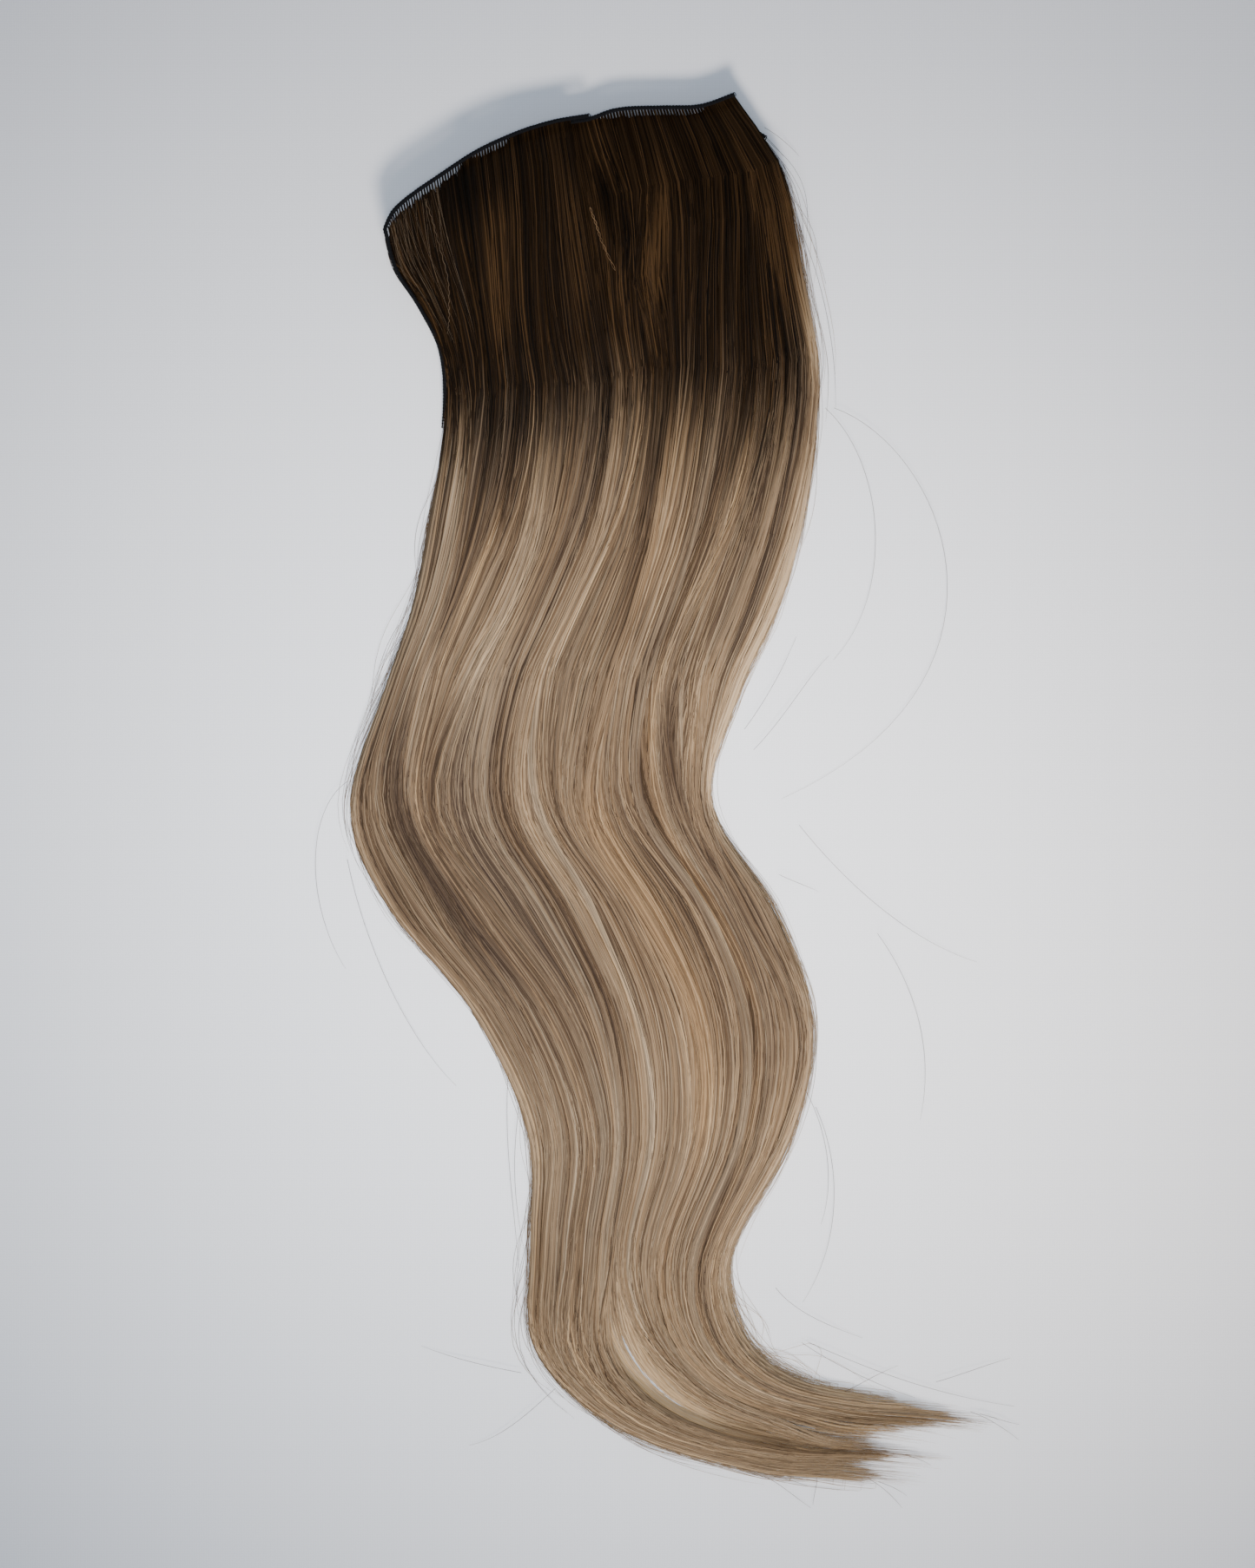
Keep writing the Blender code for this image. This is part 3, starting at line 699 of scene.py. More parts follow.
def sideways(path):
    """For points seen from above, the level direction to the left of the way they run."""
    run = np.gradient(path, axis=-2)
    run /= np.maximum(np.linalg.norm(run, axis=-1, keepdims=True), 1e-12)
    return np.stack([-run[..., 1], run[..., 0]], -1)


def flow(path):
    """Along a path in space: the way it runs, the level direction beside it, and the one square to both."""
    run = np.gradient(path, axis=-2)
    run /= np.maximum(np.linalg.norm(run, axis=-1, keepdims=True), 1e-12)
    side = np.cross(run, (0.0, 0.0, 1.0))
    side /= np.maximum(np.linalg.norm(side, axis=-1, keepdims=True), 1e-9)
    return run, side, np.cross(side, run)


def tapered(share, begins, loss):
    """The share of its thickness that a hair keeps, where it loses this much from this place to its end."""
    return 1 - loss * eased((share - begins) / (1 - begins))


def looks_of(across, along, tone, golden, later):
    """The attributes that colour the hair at these places."""
    broad, gold = broad_tone(across, along)
    return {"tone": broad + tone, "golden": gold + golden, "root_shade": root_shade(across, along, later)}


def open_height(fold, across, along):
    """The hair's underside and its full height there, which falls where the curl draws it apart."""
    low = fold.floor(across, along)
    full = np.maximum(fold.cap(across, along) - low, 0.0)
    return low, full * (1 - HOLLOW_THINNER * hollow(across, along))


def body(fold, locks, material):
    """The mass of a fold's hair under its strands, from below the comb to where the tips begin to part."""
    begins = fold.begins + (BODY_INSETS[0] if fold.begins == 0.0 else 0.0)
    stops = fold.stops - (BODY_INSETS[1] if fold.stops > 0.9 else 0.0)
    home = np.linspace(begins, stops, BODY_ACROSS)[None, :]
    ends = read(TIPS, home) if fold.reach == 1.0 else fold.reach
    share = np.linspace(0.0, 1.0, BODY_STEPS)[:, None]
    root = fold.starts(home) + BODY_BEGINS
    along = root + (ends - BODY_SHORT - root) * share
    across = beside_slit(fold, home, along) if fold.reach == 1.0 else home + 0.0 * along
    if fold.begins == 0.0:
        # Down the side run of the band the hair is sewn in, so its mass reaches the band.
        held = (1 - eased((along - 0.150) / 0.04)) * np.clip(1 - (home - begins) / 0.10, 0.0, 1.0)
        across = across - BODY_HELD * held
    low, full = open_height(fold, across, along)
    owner = np.argmin(np.abs(home[0][:, None] - locks.middle[None, :]), axis=1)
    u = (home[0] - locks.middle[owner]) / locks.half[owner]
    drop = np.stack([locks.drop(k, u[j], along[:, j]) for j, k in enumerate(owner)], 1)
    ends_thin = eased(np.minimum(share, 1 - share) / 0.05)
    high = low + np.maximum(full - drop - BODY_SUNK, BODY_LEAST) * (0.05 + 0.95 * ends_thin)
    xy = CURTAIN.points(across, along)
    upper = np.concatenate([xy, high[..., None]], -1)
    lower = np.concatenate([xy, low[..., None]], -1)[:, ::-1]
    places = np.stack([across, along], -1)
    places = np.concatenate([places, places[:, ::-1]], 1)
    # The body is darkened as painted shade under the strands
    looks = looks_of(places[..., 0], places[..., 1], -BODY_PAINTED_SHADE, 0.0, 0.0)
    # In the hollow the body is paler, partly as painted light that offsets the shade in the valley
    if fold.reach == 1.0:
        looks["tone"] = looks["tone"] + HOLLOW_BODY_PALE_AND_PAINTED_LIGHT * hollow(places[..., 0], places[..., 1])
    quads = facets(BODY_STEPS, 2 * BODY_ACROSS, True)
    piece = piece_of(fold.name + "_body", np.concatenate([upper, lower], 1), quads, places, looks, material)
    dressed(piece, fold.slot, fold.node)


def strand_runs(fold, locks, count, upper):
    """The places that the strands of one fold run through, each strand's lock and its place in the lock."""
    if upper:
        owner = np.sort(rng.choice(locks.count, count, p=locks.half / locks.half.sum()))
        u = rng.uniform(-1.12, 1.12, count)
        home = locks.middle[owner] + u * locks.half[owner]
    else:
        place = (np.arange(count) + rng.uniform(0.0, 1.0, count)) / count
        home = fold.begins + (fold.stops - fold.begins) * place
        owner = np.minimum(np.searchsorted(locks.middle + locks.half, home), locks.count - 1)
        u = (home - locks.middle[owner]) / locks.half[owner]
    end = locks.ends[owner] - rng.exponential(STRAND_SHORT, count)
    root = fold.starts(home)
    side_sewn = (home < SPARSE_TO) & (rng.uniform(0.0, 1.0, count) < (0.45 if upper else 0.0))
    root = np.where(side_sewn, rng.uniform(*SIDE_SEWN, count), root)
    # The wavy lengths get more points than the straight roots, and no two strands turn at the same places.
    more = STRAND_STEPS - len(STRAND_BEGINS)
    steps = np.arange(1, more + 1)[None, :] / more
    steps = steps + rng.uniform(-0.45, 0.45, (count, 1)) * np.sin(math.pi * steps) / more
    rest = np.interp(steps, (0.0, 0.28, 1.0), (0.0, 0.36, 1.0))
    first = root[:, None] + np.array(STRAND_BEGINS)[None, :]
    along = np.concatenate([first, first[:, -1:] + (end[:, None] - first[:, -1:]) * rest], 1)
    across = np.empty_like(along)
    for k in range(locks.count):
        mine = owner == k
        across[mine] = locks.place(k, u[mine][:, None], along[mine], upper)
    wave = rng.uniform(1.0, 7.0, (count, 1))
    phase = rng.uniform(0.0, 2 * math.pi, (count, 1))
    stray = rng.normal(0.0, 0.0024, (count, 1)) * np.sin(2 * math.pi * wave * along + phase)
    gone = along - root[:, None]
    across = across + stray * eased((gone - 0.02) / 0.08)
    joins = eased(gone / 0.05)
    from_side = across * joins + SIDE_ROOT * (1 - joins)
    return owner, u, home, side_sewn, np.where(side_sewn[:, None], from_side, across), along, gone


def combed(across, gone):
    """Draws the strands together into tufts where they are sewn in and the gaps between them show."""
    places = np.linspace(0.0, 1.0, 401)
    run = run_along(CURTAIN.points(places, np.zeros(401)))
    number = np.floor(np.interp(across[:, 1], places, run) / TUFT_PITCH)
    tuft = np.interp((number + 0.5) * TUFT_PITCH, run, places)
    reach, share = np.full(len(tuft), 1e-6), np.full(len(tuft), 0.4)
    for comb in COMBS:
        share = np.where((tuft > comb.begins) & (tuft < comb.ends), comb.tuft, share)
        off = np.abs(2 * (tuft - comb.begins) / (comb.ends - comb.begins) - 1)
        fades = np.sqrt(np.maximum(1 - off**3, 0.0))
        reach = np.maximum(reach, comb.reach * TUFT_DEPTHS[number.astype(int)] * fades)
    reach, share, tuft = reach[:, None], share[:, None], tuft[:, None]
    loose = share + (1 - share) * eased((gone - 0.85 * reach) / (0.4 * reach))
    return tuft + (across - tuft) * np.where(reach > 1e-5, loose, 1.0)


def strands(fold, locks, count, material, upper):
    """The strands of one layer of a fold, each a small tent that follows the hair."""
    owner, u, home, side_sewn, across, along, gone = strand_runs(fold, locks, count, upper)
    if upper:
        across = across + drawn_aside(home[:, None], along) * rng.uniform(0.55, 1.45, (count, 1))
    across = np.where(side_sewn[:, None], across, combed(across, gone))
    across = np.clip(clear_of_slit(across, along), np.where(side_sewn, SIDE_ROOT, 0.001)[:, None], 0.999)
    sunk = rng.uniform(0.0, 1.0, (count, 1)) ** 1.6 * UPPER_SUNK
    sunk = sunk if upper else sunk + DEEP_SUNK
    swell = rng.normal(0.0, STRAND_SWELL, (count, 1))
    ripple = swell * np.sin(2 * math.pi * rng.uniform(1.0, 3.5, (count, 1)) * along)
    drop = np.empty_like(across)
    for k in range(locks.count):
        mine = owner == k
        drop[mine] = locks.drop(k, u[mine][:, None], along[mine])
    low, full = open_height(fold, across, along)
    z = low + np.maximum(full - drop - np.minimum(sunk, 0.5 * full) + ripple, STRAND_LEAST)
    # The first points pass under the band's top, so that it covers them.
    z = low + (z - low) * (0.62 + 0.38 * eased(gone / 0.006))
    xy = CURTAIN.points(across, along)
    side = sideways(xy)
    share = np.linspace(0.0, 1.0, STRAND_STEPS)[None, :]
    taper = (0.7 + 0.3 * eased(share / 0.16)) * tapered(share, 0.80, 0.88)
    half = 0.5 * rng.uniform(*STRAND_WIDE, (count, 1)) * taper
    middle = np.concatenate([xy, z[..., None]], -1)
    falls = np.broadcast_to(-STRAND_TALL * taper, z.shape)
    edge = np.concatenate([side * half[..., None], falls[..., None]], -1)
    points = np.stack([middle + edge, middle, middle + edge * (-1.0, -1.0, 1.0)], 2)
    aside = half / CURTAIN.width(along)
    spread = np.stack([across - aside, across, across + aside], -1)
    places = np.stack([np.clip(spread, 0.0, 1.0), np.repeat(along[..., None], 3, -1)], -1)
    drift = rng.normal(0.0, 0.07, (count, 1))
    drift = drift * np.sin(2 * math.pi * 1.5 * along + rng.uniform(0, 6, (count, 1)))
    # Some strands are darkened as painted shade, for the gaps between strands
    painted_gap_shade = PAINTED_GAP_SHADE * (rng.uniform(0.0, 1.0, (count, 1)) < PAINTED_GAP_SHADE_STRANDS)
    own = np.minimum(rng.normal(*STRAND_TONES, (count, 1)), LIGHTEST_STRAND) - painted_gap_shade
    tone = locks.tone[owner][:, None] + own * (1 + 0.5 * root_shade(across, along, 0.0)) + drift
    # The deep strands are darkened as painted shade under the upper ones
    if not upper:
        tone = tone - DEEP_PAINTED_SHADE
    # In the hollow the strands are paler, partly as painted light that offsets the shade in the valley
    tone = tone + HOLLOW_PALE_AND_PAINTED_LIGHT * hollow(across, along) ** 1.3
    golden = locks.golden[owner][:, None] + rng.normal(0.0, 0.16, (count, 1))
    later = (locks.later[owner] + rng.normal(0.0, 0.012, count))[:, None]
    looks = looks_of(across, along, tone, golden, later)
    looks = {label: np.repeat(values[..., None], 3, -1) for label, values in looks.items()}
    looks["home"] = home[:, None, None] + spread - across[..., None]
    strip = facets(STRAND_STEPS, 3, False)
    parts = 2 if upper and count > PIECE_STRANDS else 1
    for part, chosen in enumerate(np.array_split(np.arange(count), parts)):
        quads = copied(strip, STRAND_STEPS * 3, len(chosen))
        name = fold.name + ("_upper_strands" if upper else "_deep_strands")
        name = name if parts == 1 else f"{name}_{part + 1}"
        theirs = {label: values[chosen] for label, values in looks.items()}
        dressed(piece_of(name, points[chosen], quads, places[chosen], theirs, material), fold.slot)


def tubes(name, paths, radii, places, looks, material, slot, sides=3):
    """Round hairs or threads along many paths of the same number of points."""
    _, side, up = flow(paths)
    angles = np.arange(sides) * 2 * math.pi / sides + math.pi / 2
    ring = side[:, :, None] * np.cos(angles)[:, None] + up[:, :, None] * np.sin(angles)[:, None]
    points = paths[:, :, None] + ring * radii[..., None, None]
    count, steps = paths.shape[:2]
    quads = copied(facets(steps, sides, True), steps * sides, count)
    looks = {
        label: np.repeat(np.broadcast_to(values, (count, steps))[..., None], sides, -1)
        for label, values in looks.items()
    }
    dressed(piece_of(name, points, quads, np.repeat(places[:, :, None], sides, 2), looks, material), slot)


def on_curtain(name, slot, material, across, along, xy, z, radii, looks):
    """Single hairs that follow the curtain at these heights."""
    paths = np.concatenate([xy, z[..., None]], -1)
    places = np.stack([across, np.minimum(along, 1.0)], -1)
    tubes(name, paths, radii, places, looks, material, slot)


def shares_of(hairs):
    """How many hairs there are, and how far down its length each point of a hair lies."""
    return hairs.count, np.linspace(0.0, 1.0, hairs.steps)[None, :]


def fringe(material):
    """Single hairs that stand off the two edges of the curtain and fall back to it."""
    count, share = shares_of(FRINGE)
    right = rng.uniform(0, 1, count) < 0.58
    begins = np.where(right, rng.uniform(0.03, 0.90, count), rng.uniform(0.14, 0.93, count))
    length = rng.uniform(0.05, 0.13, count)
    stops = np.where(right, rng.uniform(0.85, 0.94, count), rng.uniform(0.93, 0.99, count))
    along = np.minimum(begins[:, None] + length[:, None] * share, stops[:, None])
    inside = rng.uniform(0.0, 0.02, count)
    across = np.where(right, 1 - inside, inside)[:, None] * np.ones_like(along)
    rise = np.sin(math.pi * np.minimum(share * rng.uniform(0.55, 1.0, (count, 1)), 1.0)) ** 1.3
    # They stand off furthest down the right side of the roots, inside the curl and above the left bulges.
    in_curl, by_roots, upper_bulge, lower_bulge = (
        np.exp(-(((begins - place) / reach) ** 2)) for place, reach in FRINGE_WILD
    )
    wilder = 1 + np.where(right, 2.2 * in_curl + 1.4 * by_roots, upper_bulge + lower_bulge)
    stands = (rng.gamma(1.3, 0.85 * MM, count) * wilder)[:, None] * rise
    xy = CURTAIN.points(across, along)
    away = sideways(xy) * np.where(right, 1.0, -1.0)[:, None, None]
    xy = xy + away * stands[..., None]
    z = CURTAIN.lift(across, along) + rng.uniform(0.3, 1.5, (count, 1)) * MM
    radii = FRINGE.radius * rng.uniform(0.7, 1.25, (count, 1)) * tapered(share, 0.7, 0.7)
    own = rng.normal(0.0, 0.12, (count, 1)) + np.where(right, 0.16, 0.0)[:, None]
    looks = looks_of(across, along, own, 0.0, rng.normal(-0.03, 0.025, (count, 1)))
    on_curtain("edge_fringe", "back_hair", material, across, along, xy, z, radii, looks)


def stray_hairs(material):
    """Single light hairs that cross over the others at a slight angle."""
    count, share = shares_of(STRAY_HAIRS)
    begins = rng.uniform(0.10, 0.86, (count, 1))
    along = np.minimum(begins + rng.uniform(0.05, 0.14, (count, 1)) * share, 0.96)
    crossing = rng.normal(0.0, 0.03, (count, 1)) * (share + 0.3 * np.sin(2.4 * math.pi * share))
    across = np.clip(rng.uniform(0.04, 0.96, (count, 1)) + crossing, 0.01, 0.99)
    thinner = 1 - HOLLOW_THINNER * hollow(across, along)
    z = CURTAIN.top(across, along) * thinner + 0.5 * MM * np.sin(math.pi * share)
    both_ends = 1 - 0.8 * eased(np.abs(2 * share - 1) * 2 - 1)
    radii = np.broadcast_to(STRAY_HAIRS.radius * both_ends, along.shape)
    looks = looks_of(across, along, rng.normal(0.20, 0.12, (count, 1)), 0.0, -0.02)
    xy = CURTAIN.points(across, along)
    on_curtain("stray_hairs", "front_hair", material, across, along, xy, z, radii, looks)


def tip_hairs(material):
    """Single hairs that run on past the ends of the locks and thin out to points."""
    count, share = shares_of(TIP_HAIRS)
    home = rng.uniform(0.02, 0.97, (count, 1))
    ends = read(TIPS, home) + rng.normal(0.004, 0.014, (count, 1))
    along = np.minimum(ends, 1.016) - rng.uniform(0.05, 0.12, (count, 1)) * (1 - share)
    across = np.clip(home + rng.normal(0.0, 0.030, (count, 1)) * share**2, 0.005, 0.995)
    z = CURTAIN.top(across, along) * (0.95 - 0.75 * share) + rng.uniform(0.1, 0.5, (count, 1)) * MM
    radii = TIP_HAIRS.radius * rng.uniform(0.7, 1.2, (count, 1)) * tapered(share, 0.5, 0.8)
    looks = looks_of(across, along, rng.normal(0.06, 0.14, (count, 1)), 0.0, 0.0)
    xy = CURTAIN.points(across, along)
    on_curtain("tip_hairs", "back_hair", material, across, along, xy, z, radii, looks)


def corner_hairs(material):
    """Fine pale hairs that run down from the corner of the front band, where the hair is thin. Their pale
    tone is painted light on thin hairs, and stands in for the sheet seen between them.
    """
    count, share = shares_of(CORNER_HAIRS)
    along = rng.uniform(0.000, 0.012, (count, 1)) + rng.uniform(0.03, 0.12, (count, 1)) * share
    across = rng.uniform(0.004, 0.085, (count, 1)) + rng.normal(0.0, 0.010, (count, 1)) * share
    across = np.clip(across, 0.002, 0.12)
    z = CURTAIN.top(across, along) + rng.uniform(0.05, 0.3, (count, 1)) * MM
    radii = CORNER_HAIRS.radius * rng.uniform(0.7, 1.2, (count, 1)) * tapered(share, 0.6, 0.6)
    # Their pale tone is painted light on thin hairs, and stands in for the sheet seen between them
    looks = {"tone": rng.normal(0.55, 0.18, (count, 1)), "golden": 0.2, "root_shade": 0.25}
    xy = CURTAIN.points(across, along)
    on_curtain("corner_hairs", "front_hair", material, across, along, xy, z, radii, looks)


def loose_hairs(material):
    """Long single hairs that leave the curtain in wide arcs and lie on the sheet."""
    share = np.linspace(0.0, 1.0, LOOSE_STEPS)[:, None]
    pulls = ((1 - share) ** 3, 3 * share * (1 - share) ** 2, 3 * share**2 * (1 - share), share**3)
    z = 0.12 * MM + 2.0 * MM * np.sin(math.pi * (0.5 + 0.5 * share)) + 0.4 * MM * np.sin(math.pi * share)
    paths = [
        np.column_stack([sum(np.array(at) * MM * pull for at, pull in zip(hair, pulls)), z])
        for hair in LOOSE_HAIRS
    ]
    radii = LOOSE_RADIUS * np.repeat(tapered(share.T, 0.6, 0.5), len(paths), 0)
    places = np.full(radii.shape + (2,), 0.5)
    places[..., 1] += 0.1 * share.T
    looks = {"tone": 0.30, "golden": 0.4, "root_shade": 0.0}
    tubes("loose_hairs", np.array(paths), radii, places, looks, material, "back_hair")


def marked_hairs(material):
    """A crimped light hair near the left corner, and two golden hairs twisted round each other."""
    share = np.linspace(0.0, 1.0, MARKED_STEPS)
    paths, places = [], []
    for run, turns, reach in ((LIGHT_HAIR, 34, 0.20), (TWISTED_HAIRS, 9, 0.35), (TWISTED_HAIRS, 9, -0.35)):
        place = smooth_through(np.linspace(0.0, 1.0, len(run)), run, share)
        xy = CURTAIN.points(place[:, 0], place[:, 1])
        xy = xy + sideways(xy) * (reach * MM * np.sin(math.pi * turns * share))[:, None]
        z = CURTAIN.top(place[:, 0], place[:, 1]) + 0.35 * MM + 0.15 * MM * np.cos(math.pi * turns * share)
        paths.append(np.column_stack([xy, z]))
        places.append(place)
    radii = np.array([[0.11], [0.15], [0.14]]) * MM * tapered(share, 0.7, 0.4)[None, :]
    looks = {"tone": [[0.50], [0.60], [0.48]], "golden": [[0.3], [1.1], [1.1]], "root_shade": 0.0}
    tubes("marked_hairs", np.array(paths), radii, np.array(places), looks, material, "front_hair")


def band_line(across, along, corner=None):
    """The middle of a band beside a line of roots, with an arc round a corner point."""
    points = CURTAIN.points(np.asarray(across), np.asarray(along))
    offset = CLEARANCE + 0.5 * BAND_THICK
    if corner is None:
        return points - sideways(points) * offset
    arrives = -sideways(points[: corner + 1])
    leaves = -sideways(points[corner:])
    turn = np.linspace(0.0, 1.0, CORNER_STEPS)[:, None]
    away = arrives[-1] * (1 - turn) + leaves[0] * turn
    away /= np.linalg.norm(away, axis=1, keepdims=True)
    arc = points[corner] + away * offset
    before, after = points[:corner] + arrives[:-1] * offset, points[corner + 1 :] + leaves[1:] * offset
    return np.concatenate([before, arc, after])


def evenly(line, spacing):
    """Points an even distance apart along a line of points in space."""
    run = run_along(line)
    count = max(int(run[-1] / spacing), 2)
    at = np.linspace(0.0, run[-1], count + 1)
    return np.column_stack([np.interp(at, run, line[:, k]) for k in range(3)])


def thinned(count, spacing, thins):
    """The size of a band at its points, which falls away over the last stretch if it thins out there."""
    left = (count - 1 - np.arange(count)) * spacing
    return 0.30 + 0.70 * eased(left / thins) if thins else np.ones(count)


def rings_round(line, spacing, thins, turns, squareness, wide, tall):
    """Points this far apart along a band, the way it runs there, and squared-off rings round them."""
    path = evenly(line, spacing)
    run, side, up = flow(path)
    aside, rise = np.cos(turns), np.sin(turns)
    aside = (np.sign(aside) * np.abs(aside) ** squareness * wide)[None, :, None]
    rise = (np.sign(rise) * np.abs(rise) ** squareness * tall)[None, :, None]
    size = thinned(len(path), spacing, thins)[:, None, None]
    return path[:, None], run[:, None], path[:, None] + size * (side[:, None] * aside + up[:, None] * rise)


def sewn_band(name, line, node, cloth, thread, thins=0.0, wider=1.0):
    """A band of rolled cloth, with the overlock stitches that wrap it and hold the tufts."""
    thick = BAND_THICK * wider
    turns = np.arange(CLOTH_SIDES) * 2 * math.pi / CLOTH_SIDES
    path, _, rings = rings_round(line, CLOTH_STEP, thins, turns, 0.6, 0.47 * thick, 0.44 * BAND_TALL)
    rings = np.concatenate([path[:1] + 0 * rings[:1], rings, path[-1:] + 0 * rings[-1:]])
    places = np.zeros(rings.shape[:2] + (2,))
    places[..., 0] = np.linspace(0.0, 1.0, len(rings))[:, None]
    places[..., 1] = np.linspace(0.0, 1.0, CLOTH_SIDES)[None, :]
    quads = facets(len(rings), CLOTH_SIDES, True)
    dressed(piece_of(name + "_cloth", rings, quads, places, {}, cloth), name, node)

    # Each stitch wraps the band on a slant, from one tuft to the next.
    turns = np.linspace(0.0, 2 * math.pi, STITCH_STEPS)
    _, run, rings = rings_round(line, TUFT_PITCH, thins, turns, 0.7, 0.50 * thick, 0.49 * BAND_TALL)
    lean = TUFT_PITCH * np.sin(turns)[None, :, None]
    wraps = np.concatenate([rings + run * slant * lean for slant in STITCH_SLANTS])
    radii = np.full(wraps.shape[:2], THREAD_RADIUS) * rng.uniform(0.85, 1.15, (len(wraps), 1))
    places = np.zeros(wraps.shape[:2] + (2,))
    places[..., 0] = rng.uniform(0.0, 1.0, (len(wraps), 1))
    places[..., 1] = np.linspace(0.0, 1.0, STITCH_STEPS)[None, :]
    tubes(name + "_stitches", wraps, radii, places, {}, thread, name, sides=4)


def linear(hex_colour):
    """An sRGB hex colour as the linear values that a shader takes."""
    shares = [int(hex_colour[i : i + 2], 16) / 255 for i in (1, 3, 5)]
    return [c / 12.92 if c <= 0.04045 else ((c + 0.055) / 1.055) ** 2.4 for c in shares] + [1.0]


def add(tree, kind, links=None, **settings):
    """Adds a node. links maps its sockets to sockets or values, and settings are its own properties."""
    node = tree.nodes.new(kind)
    for name, value in settings.items():
        setattr(node, name, value)
    for socket, value in (links or {}).items():
        if isinstance(value, bpy.types.NodeSocket):
            tree.links.new(value, node.inputs[socket])
        else:
            node.inputs[socket].default_value = value
    return node


def blank(name):
    """A new material, with its node tree still empty."""
    material = bpy.data.materials.new(name)
    material.use_nodes = True
    tree = material.node_tree
    tree.nodes.clear()
    return material, tree


def finished(material, links):
    """Closes a material with its one surface shader."""
    tree = material.node_tree
    shader = add(tree, "ShaderNodeBsdfPrincipled", links)
    add(tree, "ShaderNodeOutputMaterial", {"Surface": shader.outputs["BSDF"]})
    return material


def ramp_of(tree, fac, stops):
    """A colour ramp through (place, hex colour) stops."""
    node = add(tree, "ShaderNodeValToRGB", {"Fac": fac})
    bar = node.color_ramp
    bar.elements[0].position, bar.elements[1].position = stops[0][0], stops[-1][0]
    bar.elements[0].color, bar.elements[1].color = linear(stops[0][1]), linear(stops[-1][1])
    for place, colour in stops[1:-1]:
        bar.elements.new(place).color = linear(colour)
    return node.outputs["Color"]


# Human hair, dyed dark at the roots and lightened below in ash and golden streaks, then brushed: thousands
# of fine lines with a soft sheen. IOR 1.55 is keratin's, and little of it shows between such fine hairs.
ASH_TONES = [
    (0.00, "#33271f"),
    (0.25, "#4f4134"),
    (0.50, "#6a5b4a"),
    (0.75, "#86755f"),
    (1.00, "#ab977e"),
]
GOLDEN_TONES = [
    (0.00, "#362819"),
    (0.25, "#55402b"),
    (0.50, "#72593f"),
    (0.75, "#8f7252"),
    (1.00, "#b39368"),
]
ROOT_TONES = [
    (0.00, "#050301"),
    (0.35, "#140b03"),
    (0.65, "#23170a"),
    (1.00, "#45311c"),
]
# How many patterns the hair has across and along. Its lines are drawn 0.3 mm apart, about four times a
# hair's thickness, so that they show, and its wisps of a few hairs 0.85 mm apart.
HAIR_LINES = (480, 5)
WISPS = (170, 7)
HAIR_GLOSS = {"Roughness": 0.45, "IOR": 1.55, "Anisotropic": 0.5, "Specular IOR Level": 0.03}


def brushed_hair():
    material, tree = blank("brushed human hair")
    tone, golden, shade, home = (
        add(tree, "ShaderNodeAttribute", attribute_name=label).outputs["Fac"]
        for label in ("tone", "golden", "root_shade", "home")
    )
    down = add(tree, "ShaderNodeUVMap", uv_map="OFBake").outputs["UV"]
    down = add(tree, "ShaderNodeSeparateXYZ", {"Vector": down}).outputs["Y"]
    net = add(tree, "ShaderNodeCombineXYZ", {"X": home, "Y": down}).outputs["Vector"]
    noises = []
    for lines, detail in ((HAIR_LINES, 2.0), (WISPS, 1.0)):
        drawn = add(tree, "ShaderNodeMapping", {"Vector": net, "Scale": (*lines, 1.0)}).outputs["Vector"]
        noise = add(tree, "ShaderNodeTexNoise", {"Vector": drawn, "Scale": 1.0, "Detail": detail})
        noises.append(noise.outputs["Fac"])
    both = add(tree, "ShaderNodeMath", {0: noises[0], 1: noises[1]}, operation="ADD").outputs[0]
    stray = add(tree, "ShaderNodeMath", {0: both, 1: 0.60, 2: -0.60}, operation="MULTIPLY_ADD").outputs[0]
    own = add(tree, "ShaderNodeMath", {0: tone, 1: stray}, operation="ADD").outputs[0]
    ash, gold, roots = (ramp_of(tree, own, tones) for tones in (ASH_TONES, GOLDEN_TONES, ROOT_TONES))
    lengths = add(tree, "ShaderNodeMix", {"Factor": golden, 6: ash, 7: gold}, data_type="RGBA").outputs[2]
    colour = add(tree, "ShaderNodeMix", {"Factor": shade, 6: lengths, 7: roots}, data_type="RGBA").outputs[2]
    tangent = add(tree, "ShaderNodeTangent", direction_type="UV_MAP", uv_map="OFBake").outputs[0]
    return finished(material, {"Base Color": colour, "Tangent": tangent, **HAIR_GLOSS})


# Polyester, spun to thread or woven to tape and dyed near black, is matt, with a very weak gloss.
POLYESTER = {"Roughness": 0.75, "IOR": 1.5, "Specular IOR Level": 0.15}
WAVE = 0.31  # a wave texture repeats every 0.31 of its unit


def overlock_thread():
    """Spun polyester thread, dyed black-brown: matt, with the fine twist of its plies, 18 to a stitch."""
    material, tree = blank("spun polyester thread")
    net = add(tree, "ShaderNodeUVMap", uv_map="OFBake").outputs["UV"]
    twist = add(tree, "ShaderNodeMapping", {"Vector": net, "Scale": (40.0, 18.0, 1.0)}).outputs["Vector"]
    ply = add(tree, "ShaderNodeTexNoise", {"Vector": twist, "Scale": 1.0, "Detail": 1.0}).outputs["Fac"]
    colour = ramp_of(tree, ply, [(0.30, "#040406"), (0.70, "#101115")])
    return finished(material, {"Base Color": colour, **POLYESTER})


